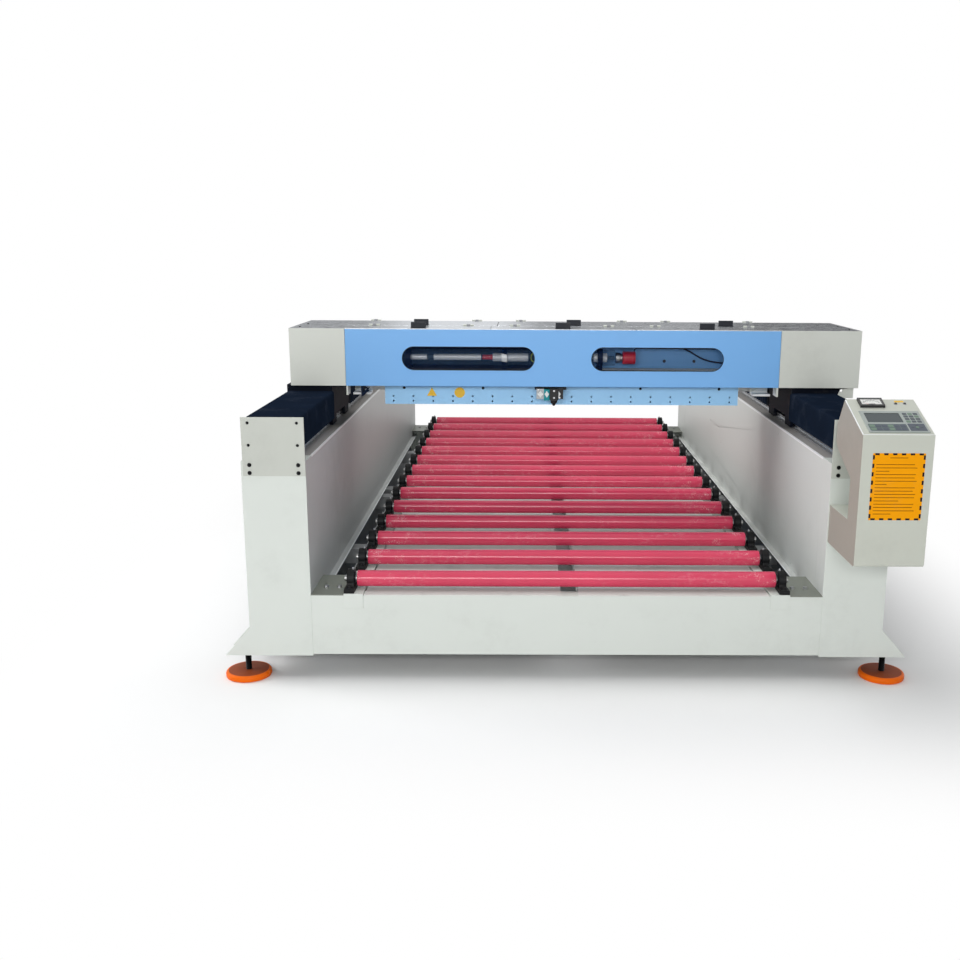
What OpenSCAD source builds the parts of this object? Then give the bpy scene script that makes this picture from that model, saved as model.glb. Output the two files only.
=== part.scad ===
// Gantry laser cutter with a bed of driven-through rollers.
// Millimetres. +Z is up, the operator's end faces -Y, X runs across the bed.
// The origin is on the floor, in the middle of the machine's footprint.

/* [Frame] */
// Clear width between the inner walls
bed_gap = 1686; // [1400:2:2100]
// Length of the bed, front face to rear face
bed_l = 3370; // [2800:10:4100]
// Width of each leg
leg_w = 207; // [200:1:250]
// Height of the frame's underside above the floor
lift = 78; // [60:1:110]
// Height of the legs and side walls
leg_h = 660; // [540:5:800]
// Height of the crossbeam's top above the underside
sill_h = 210; // [170:5:260]
// Depth of each end frame along the bed
end_d = 100; // [80:5:140]
// Thickness of the leg plates
plate_t = 8; // [5:1:12]
// Thickness of the wall sheets
sheet_t = 3; // [2:0.5:5]
// Width of the flare at the foot of a leg
flare_w = 84; // [70:2:110]
// Height of the flare at the foot of a leg
flare_h = 95; // [60:5:140]
// Height of the inner wall's folded foot above the underside
wall_foot = 172; // [150:2:190]

/* [Levelling feet] */
// Diameter of the threaded rod
rod_dia = 20; // [16:1:24]
// Diameter of the pad
pad_dia = 150; // [110:2:160]
// Thickness of the pad
pad_t = 22; // [15:1:30]

/* [Roller bed] */
// Number of rollers
roller_count = 14; // [10:1:14]
// Diameter of a roller's sleeve
roller_dia = 54; // [40:1:60]
// Gap between a roller's sleeve and the middle of its bearing
sleeve_gap = 21.5; // [21:0.5:40]
// Diameter of a roller's shaft
shaft_dia = 20; // [16:1:25]
// Distance from the end of the bed to the first shaft
first_roller = 66; // [66:1:90]
// Width of the bars that carry the bearings
bar_w = 64; // [60:1:70]
// Height of the bars that carry the bearings
bar_h = 50; // [40:1:60]
// How far the bars stand above the crossbeam
bar_proud = 6; // [2:1:12]
// Height of a shaft above the bearing's base
bearing_h = 33.3; // [30:0.1:40]

/* [Gantry] */
// Distance from the bed's front face to the gantry's front face
gantry_at = 640; // [500:5:1500]
// Depth of the gantry
gantry_d = 430; // [400:2:516]
// Height of the gantry's underside above the legs
gantry_clear = 160; // [158:1:200]
// Height of the gantry's covers
gantry_h = 214; // [200:2:260]
// Distance from the front cover's end to the inner wall
cover_in = 29; // [23:1:34]
// Width of the left end cover
end_left_w = 207; // [195:1:240]
// Width of the right end cover
end_right_w = 301; // [260:1:320]
// Length of each slot window
window_l = 498; // [300:2:560]
// Height of each slot window
window_h = 90; // [60:2:110]
// Distance from a window's outer end to the cover's end
window_in = 211; // [120:1:250]
// How far the beam's lower strip hangs below the covers
strip_drop = 81; // [60:1:84]
// Distance from the strip's end to the inner wall
strip_in = 163; // [120:1:240]

/* [Drives] */
// Gear module of the racks and pinions
gear_m = 3; // [2.5:0.5:3]
// Teeth on a pinion
pinion_teeth = 20; // [18:1:20]
// Gap left between meshing flanks
backlash = 0.3; // [0.1:0.05:0.6]

/* [Bellows] */
// Folds in each bellows
fold_count = 60; // [30:2:80]
// Depth of a fold
fold_d = 14; // [8:1:18]
// Height of the bellows' top above the legs
bellows_h = 136; // [120:1:140]
// Gap between the skirt and the flange below it
skirt_gap = 32; // [26:1:38]

/* [Control cabinet] */
// Width of the cabinet
cab_w = 212; // [190:2:250]
// How far the cabinet stands out in front
cab_d = 278; // [240:2:320]
// How far the cabinet's underside lies below the top of the leg
cab_drop = 260; // [220:2:300]

/* [Laser head] */
// Rest position of the head across the gantry
head_x = -44; // [-300:1:300]
// Outer diameter of the laser tube
tube_dia = 60; // [50:1:62]
// Length of the laser tube's glass
tube_l = 840; // [700:10:900]

/* [Hidden] */
$fn = 48;
eps = 0.01;                 // overrun of a cut past the face that it opens
seat = 0.3;                 // gap between surfaces that move past each other
running = 0.05;             // radial clearance of a shaft in its bearing

half_gap = bed_gap / 2;
half_w = half_gap + leg_w;
leg_top = lift + leg_h;
sill_top = lift + sill_h;
leg_wall = 6;               // wall of a leg's column
beam_wall = 6;              // wall of the crossbeam
beam_step = 1.5;            // crossbeam's face lies this far behind the leg plates
beam_rise = 5;              // crossbeam's underside lies this far above the legs'
beam_l = 50;                // depth of the crossbeam

// levelling feet
nut_flats = 1.5 * rod_dia;
nut_r = nut_flats / sqrt(3);
nut_h = 16;
foot_out = nut_flats / 2 + 1;       // rod's middle beyond the leg's outer face
foot_in = plate_t + nut_r + 0.7;    // rod's middle behind the end face
foot_x = half_w + foot_out;
foot_plate_t = 12;
foot_plate_w = 59;
rod_top = lift + foot_plate_t + nut_h + 8;
pad_over = pad_dia / 2 - foot_in;   // pad reaches this far past the end face

front_y = (cab_d - bed_l - pad_over) / 2;
mid_d = bed_l / 2;
function at(d) = front_y + d;       // Y of a point d behind the front face

// side beams
lip_w = 23;                 // folded lip at the foot of the inner wall
flange_t = 8;               // flange that carries the rail
lower_x = half_gap + 20;    // lower inner sheet stands back by this much
wall_hole_r = 3.5;
wall_holes = [[420, 275], [722, 708], [1887, 458], [1970, 522], [2205, 522], [1970, 367], [2205, 367]];
wall_foot_z = lift + wall_foot;

// roller bed
bar_x0 = half_gap - 171;    // inner face of a bar
bar_x1 = bar_x0 + bar_w;
bar_top = sill_top + bar_proud;
bar_z = bar_top - bar_h;
bar_t = 4;
axis_z = bar_top + bearing_h;
roller_pitch = (bed_l - 2 * first_roller) / (roller_count - 1);
block_w = bar_w - 30;       // width of a bearing's base
block_x = bar_x0 + 46.5;    // middle of a bearing
housing_w = 24;
housing_r = 31.7;
insert_w = 31;
insert_r = 14.5;
base_l = 127;
base_t = 14;
bolt_at = 47.5;
hub_r = 15;
hub_l = 4;
shaft_end = block_x + 22.5;
sleeve_l = 2 * (block_x - sleeve_gap);
cross_w = 70;
cross_h = 60;
cross_t = 4;
cross_at = [700, mid_d - 35 - cross_w, mid_d + 55, bed_l - 700];
deck_t = 2;
deck_in = 2;                // deck's ends lie this far inside the bed's ends
deck_gap = 58;              // slot between the two sheets
deck_mid = 9;               // middle of that slot
corner_l = 215;
corner_t = 3;

// end plates and bellows
cap_w = leg_w - 7;
cap_h = 190;
cap_t = 4;
cap_x = half_gap;
cap_z = leg_top - 48;
bellows_in = half_gap + 23;
bellows_out = half_w - 2;
bellows_top = leg_top + bellows_h;
skirt_z = leg_top + skirt_gap;
cloth_t = 2;

// rails, racks and pinions
rail_w = 23;
rail_h = 22;
rail_x = half_gap + 56;
rail_end = 45;
rail_hole_r = 3;
rail_head_r = 4.75;
rail_head_h = 8.5;
rail_hole_pitch = 60;
rack_h = 20;
rack_gap = 35;              // rack's back stands this far outside the rail's middle
pitch_r = gear_m * pinion_teeth / 2;
tooth_pitch = PI * gear_m;
rack_back = rail_x + rack_gap;
pitch_line = rack_back + 18;
pinion_x = pitch_line + pitch_r + backlash / 2;
pinion_z = leg_top + 3;
pinion_t = 16;
pinion_d = gantry_at + 320;
pinion_shaft_r = 7;
pressure = 20;

// gantry
gantry_foot = leg_top + gantry_clear;
cover_w = bed_gap - 2 * cover_in;
strip_w = bed_gap - 2 * strip_in;
window_x = cover_w / 2 - window_in - window_l / 2;
g_front = gantry_at;
g_back = gantry_at + gantry_d;
g_top = gantry_foot + gantry_h;
skin_t = 3;
half_cover = cover_w / 2;
seam = 0.5;
left_end = half_cover + end_left_w;
right_end = half_cover + end_right_w;
beam_face = g_front + 90;
beam_d = 140;
beam_z = gantry_foot;
beam_h = 160;
beam_t = 6;
beam_half = half_w - 50;
strip_half = strip_w / 2;
strip_edge = 20;            // outermost holes stay this far from the strip's ends
strip_pitch = 76.2;
strip_bolt_pitch = 303;
strip_z = gantry_foot - strip_drop;
rear_foot = gantry_foot - 71;
cheek_t = 6;
tab_drop = 35;
tab_l = 60;
bracket_in = 14;            // angle bracket under each end of the beam
bracket_w = 66;
bracket_drop = 42;
bracket_t = 8;
rim = 20;
lid_t = 2.5;
lid_z = g_top - lid_t;
lid_seam = g_front + 160;
rear_left_over = 31;        // rear lids reach this far past the front cover's left end
rear_right_over = 126;      // and this far past its right end
front_lid_w = cover_w / 3;
rear_lid_w = (cover_w + rear_left_over + rear_right_over) / 3;
rear_shift = (rear_right_over - rear_left_over) / 2;
lid_gap = 1;
knuckle_gap = 4.5;           // room for the front lids' knuckles at the seam
lid_lip = 10;
handle_w = 56;
handle_h = 22;
handle_t = 8;
handle_back = 42;
knuckle_r = 3;
pin_r = 1.5;
knuckle_l = 14;
hinge_in = 90;
hinge_edge = 40;            // a hinge's middle keeps this far inside the housing's end
lip_in = 60;                // a lid's lip ends this far inside the lid
lip_edge = 20;              // and this far inside the housing's end

// carriages
car_z = leg_top + 40;
car_t = 18;
car_d0 = g_front + 28;
car_d1 = g_back - 22;
car_x0 = half_gap + 29;
car_x1 = half_w - 8;
block_l = 84;
block_half = 24;
shelf_t = 8;
shelf_x0 = half_cover + 6;
foot_flange_front = 56;
foot_flange_rear = 48;

// optics and head
mirror_in = 69;             // turning mirror's middle inside the front cover's end
mirror_gap = 105;           // from that mirror to the tube's glass
mirror_x = mirror_in - half_cover;
tube_x1 = mirror_x + mirror_gap + tube_l;
tube_at = g_front + 40;
tube_z = gantry_foot + 106;
window_z = gantry_foot + 104;
belt_w = 15;
belt_t = 1.5;
pulley_r = 12;
idler_pin_r = 4;
pulley_x = half_cover - 29;
pulley_at = beam_face - 24;
belt_z = gantry_foot + 45;
x_rail_z = gantry_foot + 23;
x_rail_w = 20;
x_rail_h = 17;
x_block_h = 24;
x_block_half = 21;
plate_at = beam_face - 32;
beam_line = strip_z + 51;
nozzle_z = strip_z + 3;
lens_x = head_x + 12;
lens_tube_r = 11;

// control cabinet
cab_z = leg_top - cab_drop;
cab_x0 = half_gap + 3;
cab_x1 = cab_x0 + cab_w;
cab_front_h = 403;
panel_rise = 77;
panel_run = 198;
panel_tilt = atan(panel_rise / panel_run);
panel_l = norm([panel_rise, panel_run]);
cab_t = 2;

// ---------------------------------------------------------------- helpers

function roller_name(i) = str("roller_", i < 9 ? "0" : "", i + 1);

// A block between two corners, its depth counted behind the front face.
module slab(x0, x1, d0, d1, z0, z1) {
    translate([x0, at(d0), z0]) cube([x1 - x0, d1 - d0, z1 - z0]);
}

// A shape on the right side and its mirror image on the left.
module sides() {
    children();
    mirror([1, 0, 0]) children();
}

// A shape at the front end turned round to the rear end.
module at_rear() {
    translate([0, 2 * at(mid_d), 0]) mirror([0, 1, 0]) children();
}

module ends() {
    children();
    at_rear() children();
}

// An outline drawn in X and Z, given a thickness behind d.
module upright(d, t) {
    translate([0, at(d) + t, 0]) rotate([90, 0, 0]) linear_extrude(t) children();
}

// An outline drawn in Y and Z, given a width from x.
module across(x, w) {
    translate([x, 0, 0]) rotate([90, 0, 90]) linear_extrude(w) children();
}

// A hole along Y through an upright plate.
module y_hole(x, d, z, r, l) {
    translate([x, at(d), z]) rotate([-90, 0, 0]) cylinder(r = r, h = l);
}

// ------------------------------------------------------------------ frame

// Leg outline with its flared foot.
module leg_outline() {
    polygon([[half_gap, lift], [half_w + flare_w, lift], [half_w, lift + flare_h],
             [half_w, leg_top], [half_gap, leg_top]]);
}

module leg() {
    upright(0, plate_t) leg_outline();
    upright(end_d - plate_t, plate_t) leg_outline();
    difference() {
        slab(half_gap, half_w, plate_t, end_d - plate_t, lift, leg_top);
        slab(half_gap + leg_wall, half_w - leg_wall, plate_t, end_d - plate_t,
             lift - eps, leg_top - leg_wall);
    }
}

// Plate between the two flares, with the hole for the levelling rod.
module foot_plate(d0, d1, rod_d) {
    difference() {
        slab(half_w, half_w + foot_plate_w, d0, d1, lift, lift + foot_plate_t);
        translate([foot_x, at(rod_d), lift - eps])
            cylinder(d = rod_dia + 0.6, h = foot_plate_t + 2 * eps);
    }
}

// Cover plate over the corner between the leg and the bearing bar.
module corner_plate() {
    difference() {
        slab(bar_x1 + seat, half_gap, 0, corner_l, sill_top, sill_top + corner_t);
        for (x = [26, 70])
            translate([bar_x1 + x, at(82), sill_top - eps]) cylinder(d = 9, h = corner_t + 2 * eps);
    }
}

module crossbeam() {
    z0 = lift + beam_rise;
    difference() {
        slab(-half_gap, half_gap, beam_step, beam_step + beam_l, z0, sill_top);
        slab(-half_gap, half_gap, beam_step + beam_wall, beam_step + beam_l - beam_wall,
             z0 + beam_wall, sill_top - beam_wall);
    }
}

module end_frame() {
    difference() {
        union() {
            crossbeam();
            sides() {
                leg();
                foot_plate(plate_t, end_d - plate_t, foot_in);
                corner_plate();
            }
        }
        sides() slab(bar_x0 - seat, bar_x1 + seat, -eps, end_d + eps, bar_z - seat, bar_top);
    }
}

module front_frame() {
    color("Gainsboro") end_frame();
}

module rear_frame() {
    color("Gainsboro") at_rear() end_frame();
}

// Folded and welded side of the bed: inner wall, lip, rail flange and outer wall.
module side_beam() {
    d0 = end_d;
    d1 = bed_l - end_d;
    slab(half_gap, half_gap + sheet_t, d0, d1, wall_foot_z, leg_top);
    slab(half_gap - lip_w, lower_x + sheet_t, d0, d1, wall_foot_z, wall_foot_z + sheet_t);
    slab(half_gap, half_w, d0, d1, leg_top - flange_t, leg_top);
    slab(half_w - sheet_t, half_w, d0, d1, lift, leg_top);
    slab(lower_x, lower_x + sheet_t, d0, d1, lift, wall_foot_z);
    slab(lower_x, half_w, d0, d1, lift, lift + leg_wall);
    foot_plate(mid_d - 45 + leg_wall, mid_d + 45 - leg_wall, mid_d);
    for (d = [mid_d - 45, mid_d + 45 - leg_wall])
        upright(d, leg_wall) polygon([[half_w - sheet_t / 2, lift], [half_w + flare_w, lift],
            [half_w, lift + flare_h], [half_w - sheet_t / 2, lift + flare_h]]);
}

// Right wall has spare holes for a drive's bracket and cable clips.
module side_beam_right() {
    color("Gainsboro") difference() {
        side_beam();
        for (h = wall_holes) translate([half_gap - eps, at(h[0]), h[1]]) rotate([0, 90, 0])
            cylinder(r = wall_hole_r, h = sheet_t + 2 * eps);
    }
}

module side_beam_left() {
    color("Gainsboro") mirror([1, 0, 0]) side_beam();
}

// Foot: rubber pad, threaded rod and lock nut.
module foot() {
    rotate_extrude($fn = 72) polygon(concat(
        [[0, 0], [pad_dia / 2 - 5, 0], [pad_dia / 2, 4]],
        [for (a = [0 : 15 : 75]) [pad_dia / 2 - 9 + 9 * cos(a), 13 * pad_t / 22 + 9 * pad_t / 22 * sin(a)]],
        [[pad_dia / 2 - 12, pad_t], [0, pad_t]]));
    cylinder(d = rod_dia, h = rod_top);
    translate([0, 0, lift + foot_plate_t]) rotate([0, 0, 30]) cylinder(r = nut_r, h = nut_h, $fn = 6);
}

module levelling_feet() {
    color("OrangeRed") sides() {
        for (d = [foot_in, mid_d, bed_l - foot_in])
            translate([foot_x, at(d), 0]) foot();
    }
}

// -------------------------------------------------------------- roller bed

module roller_bars() {
    color("LightGray") sides() difference() {
        slab(bar_x0, bar_x1, 0, bed_l, bar_z, bar_top);
        slab(bar_x0 + bar_t, bar_x1 - bar_t, bar_t, bed_l - bar_t, bar_z + bar_t, bar_top - bar_t);
        for (d = [end_d + 40, bed_l - end_d - 40])
            translate([(bar_x0 + bar_x1) / 2, at(d), bar_z - eps]) cylinder(d = 8, h = bar_t + 2 * eps);
    }
}

module bed_cross_members() {
    color("LightGray") for (d = cross_at) difference() {
        slab(-lower_x, lower_x, d, d + cross_w, bar_z - cross_h, bar_z);
        slab(-lower_x - eps, lower_x + eps, d + cross_t, d + cross_w - cross_t,
             bar_z - cross_h + cross_t, bar_z - cross_t);
    }
}

// Folded sheet from x0 to x1 under the rollers; its flanges stand on the cross members.
module deck_sheet(x0, x1) {
    d0 = beam_step + beam_l + deck_in;
    slab(x0, x1, deck_in, bed_l - deck_in, sill_top, sill_top + deck_t);
    for (x = [x0, x1 - deck_t]) slab(x, x + deck_t, d0, bed_l - d0, bar_z, sill_top + deck_t);
}

module deck_sheets() {
    out = bar_x0 - 4;
    color("Silver") {
        deck_sheet(-out, deck_mid - deck_gap / 2);
        deck_sheet(deck_mid + deck_gap / 2, out);
    }
}

// Cast pillow block with its bearing insert and two bolts, shaft axis along X at z = 0.
module pillow_block() {
    difference() {
        union() {
            across(-block_w / 2, block_w)
                polygon([[-base_l / 2, -bearing_h], [base_l / 2, -bearing_h],
                         [base_l / 2, base_t - bearing_h - 3], [base_l / 2 - 3, base_t - bearing_h],
                         [3 - base_l / 2, base_t - bearing_h], [-base_l / 2, base_t - bearing_h - 3]]);
            across(-housing_w / 2, housing_w) {
                circle(r = housing_r);
                polygon([[-40, 2 - bearing_h], [40, 2 - bearing_h], [34, base_t - bearing_h + 4],
                         [26, 0], [-26, 0], [-34, base_t - bearing_h + 4]]);
            }
            rotate([0, 90, 0]) cylinder(r = insert_r, h = insert_w, center = true);
            for (y = [-bolt_at, bolt_at]) translate([0, y, base_t - bearing_h - eps]) {
                cylinder(r = 10, h = 2, $fn = 24);
                cylinder(r = 8.5, h = 8.4, $fn = 6);
            }
        }
        rotate([0, 90, 0]) cylinder(r = shaft_dia / 2 + running, h = block_w + 2, center = true, $fn = 72);
    }
}

module pillow_blocks() {
    color("#202020") sides() for (i = [0 : roller_count - 1])
        translate([block_x, at(first_roller + i * roller_pitch), axis_z]) pillow_block();
}

// Sleeve with recessed end discs on a through shaft.
module roller(i) {
    translate([0, at(first_roller + i * roller_pitch), axis_z]) rotate([0, 90, 0]) {
        color("Crimson") difference() {
            cylinder(d = roller_dia, h = sleeve_l, center = true, $fn = 72);
            for (s = [-1, 1]) translate([0, 0, s * (sleeve_l / 2 - 2)]) difference() {
                cylinder(d = roller_dia - 7, h = 4 + eps, center = true, $fn = 72);
                cylinder(r = hub_r, h = 6, center = true);
            }
        }
        color("WhiteSmoke") cylinder(r = hub_r, h = sleeve_l + 2 * hub_l, center = true);
        color("Silver") cylinder(d = shaft_dia, h = 2 * shaft_end, center = true, $fn = 72);
    }
}

// ------------------------------------------------- end plates and bellows

module bellows_end_plates() {
    color("Gainsboro") sides() ends() difference() {
        slab(cap_x, cap_x + cap_w, -cap_t, 0, cap_z, cap_z + cap_h);
        for (x = [22, cap_w - 22]) {
            y_hole(cap_x + x, -cap_t - eps, cap_z + 172, 3, cap_t + 2 * eps);
            y_hole(cap_x + x, -cap_t - eps, cap_z + 100, 3, cap_t + 2 * eps);
            y_hole(cap_x + x, -cap_t - eps, cap_z + 36, 4.5, cap_t + 2 * eps);
            y_hole(cap_x + x, -cap_t - eps, cap_z + 10, 4.5, cap_t + 2 * eps);
        }
    }
}

// One fold line after another: the cloth steps in and out by a fold's depth.
function fold_in(k) = k % 2 == 0 ? 0 : fold_d;
function fold_y(k, d0, d1) = at(d0) + (d1 - d0) * k / (2 * fold_count);

// The bellows' outer form, set in by t: side folds cut by top folds, so corners are mitred.
module folded_form(d0, d1, t) {
    n = 2 * fold_count;
    intersection() {
        translate([0, 0, skirt_z - (t > 0 ? 1 : 0)]) linear_extrude(bellows_top - skirt_z + 2)
            polygon(concat(
                [for (k = [0 : n]) [bellows_out - t - fold_in(k), fold_y(k, d0, d1)]],
                [for (k = [n : -1 : 0]) [bellows_in + t + fold_in(k), fold_y(k, d0, d1)]]));
        across(bellows_in - 1, bellows_out - bellows_in + 2)
            polygon(concat(
                [[at(d1), skirt_z - 2], [at(d0), skirt_z - 2]],
                [for (k = [0 : n]) [fold_y(k, d0, d1), bellows_top - t - fold_in(k)]]));
    }
}

module bellows(d0, d1) {
    color("MidnightBlue") difference() {
        folded_form(d0, d1, 0);
        folded_form(d0 - eps, d1 + eps, cloth_t);
    }
}

module bellows_front_right() {
    bellows(0, car_d0 - seat);
}

module bellows_front_left() {
    mirror([1, 0, 0]) bellows(0, car_d0 - seat);
}

module bellows_rear_right() {
    bellows(car_d1 + seat, bed_l);
}

module bellows_rear_left() {
    mirror([1, 0, 0]) bellows(car_d1 + seat, bed_l);
}

// ---------------------------------------------------- rails and gear racks

// Section of a guide rail standing on y = 0, with its two ball grooves.
module rail_section(w, h) {
    polygon([[-w / 2, 0], [w / 2, 0], [w / 2, h * 0.42], [w / 2 - 2.4, h * 0.6],
             [w / 2, h * 0.78], [w / 2, h - 1], [w / 2 - 1, h], [1 - w / 2, h],
             [-w / 2, h - 1], [-w / 2, h * 0.78], [2.4 - w / 2, h * 0.6], [-w / 2, h * 0.42]]);
}

// Counterbored bolt hole down through a rail of height h standing on z = 0.
module rail_hole(h) {
    translate([0, 0, -eps]) cylinder(r = rail_hole_r, h = h + 2 * eps);
    translate([0, 0, h - rail_head_h]) cylinder(r = rail_head_r, h = rail_head_h + eps);
}

// Places of the holes along a rail of length l, even about its middle.
function rail_holes(l) = [for (k = [1 : floor(l / rail_hole_pitch) - 1])
    (k - floor(l / rail_hole_pitch) / 2) * rail_hole_pitch];

module y_rails() {
    rail_l = bed_l - 2 * rail_end;
    color("Silver") sides() translate([rail_x, 0, leg_top]) difference() {
        upright(rail_end, rail_l) rail_section(rail_w, rail_h);
        for (y = rail_holes(rail_l)) translate([0, at(mid_d) + y, 0]) rail_hole(rail_h);
    }
}

// Half of a rack tooth's width at height h above the pitch line.
function rack_half(h) = tooth_pitch / 4 - backlash / 4 - h * tan(pressure);

// Straight rack with its teeth towards +X and one tooth level with the pinion.
module rack() {
    reach = floor((bed_l / 2 - 110) / tooth_pitch);
    shift = round((pinion_d - mid_d) / tooth_pitch);
    tip = pitch_line + gear_m;
    root = pitch_line - 1.25 * gear_m;
    y_of = function(k) at(pinion_d) + (k - shift) * tooth_pitch;
    translate([0, 0, leg_top]) linear_extrude(rack_h) polygon(concat(
        [[rack_back, y_of(reach) + tooth_pitch / 2], [rack_back, y_of(-reach) - tooth_pitch / 2],
         [root, y_of(-reach) - tooth_pitch / 2]],
        [for (k = [-reach : reach], c = [[root, -1], [tip, -1], [tip, 1], [root, 1]])
            [c[0], y_of(k) + c[1] * rack_half(c[0] - pitch_line)]],
        [[root, y_of(reach) + tooth_pitch / 2]]));
}

module y_racks() {
    color("DimGray") sides() rack();
}

function involute(r, base) = r <= base ? 0 : tan(acos(base / r)) - acos(base / r) * PI / 180;

// Involute pinion, as thin at the pitch circle as the rack's teeth are.
module gear_outline() {
    base = pitch_r * cos(pressure);
    half = 90 / pinion_teeth - (backlash / 4) / pitch_r * 180 / PI
         + involute(pitch_r, base) * 180 / PI;
    radii = [pitch_r - 1.25 * gear_m, base, pitch_r - 0.25 * gear_m, pitch_r + 0.3 * gear_m,
             pitch_r + 0.7 * gear_m, pitch_r + gear_m];
    flank = [for (r = radii) [r, half - involute(r, base) * 180 / PI]];
    polygon([for (t = [0 : pinion_teeth - 1], s = [-1, 1], j = [0 : len(flank) - 1])
        let (f = flank[s < 0 ? j : len(flank) - 1 - j], a = t * 360 / pinion_teeth + s * f[1])
        [f[0] * cos(a), f[0] * sin(a)]]);
}

// Pinion on its shaft, with a gap between teeth facing the rack.
module pinion() {
    translate([pinion_x, at(pinion_d), pinion_z]) rotate([0, 0, 180 / pinion_teeth]) color("Gray") {
        linear_extrude(pinion_t) gear_outline();
        cylinder(r = 14, h = pinion_t + 12);
        cylinder(r = pinion_shaft_r, h = car_z + car_t - pinion_z - seat, $fn = 72);
    }
}

module pinion_right() {
    pinion();
}

module pinion_left() {
    mirror([1, 0, 0]) pinion();
}

// ----------------------------------------------------------------- gantry

// Places of a row of holes along the strip, even about its middle.
function strip_holes(pitch) = let (n = floor((strip_w - 2 * strip_edge) / pitch))
    [for (k = [0 : n]) (k - n / 2) * pitch];

// Welded box beam, deeper in the middle where the drilled strip hangs down.
module gantry_beam() {
    d1 = beam_face + beam_d;
    color("CornflowerBlue") {
        difference() {
            union() {
                slab(-beam_half, beam_half, beam_face, d1, beam_z, beam_z + beam_h);
                slab(-strip_half, strip_half, beam_face, d1, strip_z, beam_z + beam_t);
            }
            slab(-beam_half - eps, beam_half + eps, beam_face + beam_t, d1 - beam_t,
                 beam_z + beam_t, beam_z + beam_h - beam_t);
            slab(-strip_half + beam_t, strip_half - beam_t, beam_face + beam_t, d1 - beam_t,
                 strip_z + beam_t, beam_z + 2 * beam_t);
            for (x = strip_holes(strip_pitch), z = [12, 31])
                y_hole(x, beam_face - eps, strip_z + z, 3.5, beam_t + 2 * eps);
            for (x = strip_holes(strip_bolt_pitch))
                y_hole(x, beam_face - eps, strip_z + 63, 3.5, beam_t + 2 * eps);
        }
        slab(pulley_x - 18, pulley_x + 18, pulley_at - 14, beam_face, belt_z + 21, belt_z + 27);
        translate([pulley_x, at(pulley_at), belt_z - 5]) {
            cylinder(r = idler_pin_r, h = 27, $fn = 72);
            cylinder(r = idler_pin_r + 3, h = 3);
        }
    }
}

// Fixed half of a lid hinge: two knuckles on a leaf, joined by the pin.
module fixed_hinge(x, d, leaf_d) {
    translate([x, at(d), g_top + knuckle_r]) rotate([0, 90, 0]) {
        cylinder(r = pin_r, h = 3 * knuckle_l, center = true);
        for (s = [-1, 1]) translate([0, 0, s * knuckle_l]) cylinder(r = knuckle_r, h = knuckle_l - 1, center = true);
    }
    for (s = [-1, 1])
        slab(x + s * knuckle_l - 6, x + s * knuckle_l + 6, min(d, leaf_d), max(d, leaf_d), lid_z, g_top + 2);
}

function within(x, edge) = min(max(x, edge - half_cover), half_cover - edge);
function lid_hinges(x0, w) = [for (x = [x0 + hinge_in, x0 + w - hinge_in]) within(x, hinge_edge)];
function front_lid_x(i) = (i - 0.5) * front_lid_w - front_lid_w;
function rear_lid_x(i) = rear_shift + (i - 1.5) * rear_lid_w;

// Folded rear wall, floor and side cheeks, with the rail that the lids hinge on.
module gantry_housing() {
    side = half_cover - seam;
    color("Gainsboro") {
        slab(-side, side, g_back - skin_t, g_back, rear_foot, lid_z);
        slab(-side, side, beam_face + beam_d + skin_t, g_back, gantry_foot, gantry_foot + skin_t);
        slab(-side, side, lid_seam - 10, lid_seam + 12, beam_z + beam_h, lid_z);
        sides() {
            difference() {
                slab(side - cheek_t, side, g_front + skin_t, g_back, gantry_foot, lid_z);
                slab(side - cheek_t - eps, side + eps, beam_face - seat, beam_face + beam_d + seat,
                     gantry_foot - eps, beam_z + beam_h);
            }
            slab(side - cheek_t, side, g_front + skin_t, g_front + tab_l, gantry_foot - tab_drop, gantry_foot);
            slab(side - bracket_in - bracket_w, side - bracket_in, beam_face - 20, beam_face + 40,
                 gantry_foot - bracket_drop, gantry_foot - bracket_drop + bracket_t);
            slab(side - bracket_in - bracket_w, side - bracket_in, beam_face + 40 - bracket_t, beam_face + 40,
                 gantry_foot - bracket_drop, gantry_foot);
        }
        for (i = [0 : 2]) {
            for (x = lid_hinges(front_lid_x(i), front_lid_w)) fixed_hinge(x, lid_seam + 1, lid_seam + 2.5);
            for (x = lid_hinges(rear_lid_x(i), rear_lid_w)) fixed_hinge(x, g_back + 1, g_back - 2);
        }
    }
}

// A slot outline with round ends, drawn in X and Z.
module slot(x, z, l, h) {
    translate([x, z]) {
        square([l - h, h], center = true);
        for (s = [-1, 1]) translate([s * (l - h) / 2, 0]) circle(d = h, $fn = 96);
    }
}

module front_cover() {
    side = half_cover - seam;
    color("CornflowerBlue") difference() {
        union() {
            slab(-side, side, g_front, g_front + skin_t, gantry_foot, lid_z);
            slab(-side, side, g_front, g_front + rim, lid_z - skin_t, lid_z);
            slab(-side, side, g_front, g_front + rim, gantry_foot, gantry_foot + skin_t);
        }
        sides() upright(g_front - eps, skin_t + 2 * eps) slot(window_x, window_z, window_l, window_h);
        sides() slab(side - cheek_t - eps, side + eps, g_front + skin_t, g_front + rim + eps,
                     gantry_foot - eps, lid_z + eps);
    }
}

module window_panes() {
    color("SteelBlue", 0.5) sides() upright(g_front + skin_t, 3)
        slot(window_x, window_z, window_l + 30, window_h + 20);
}

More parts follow.
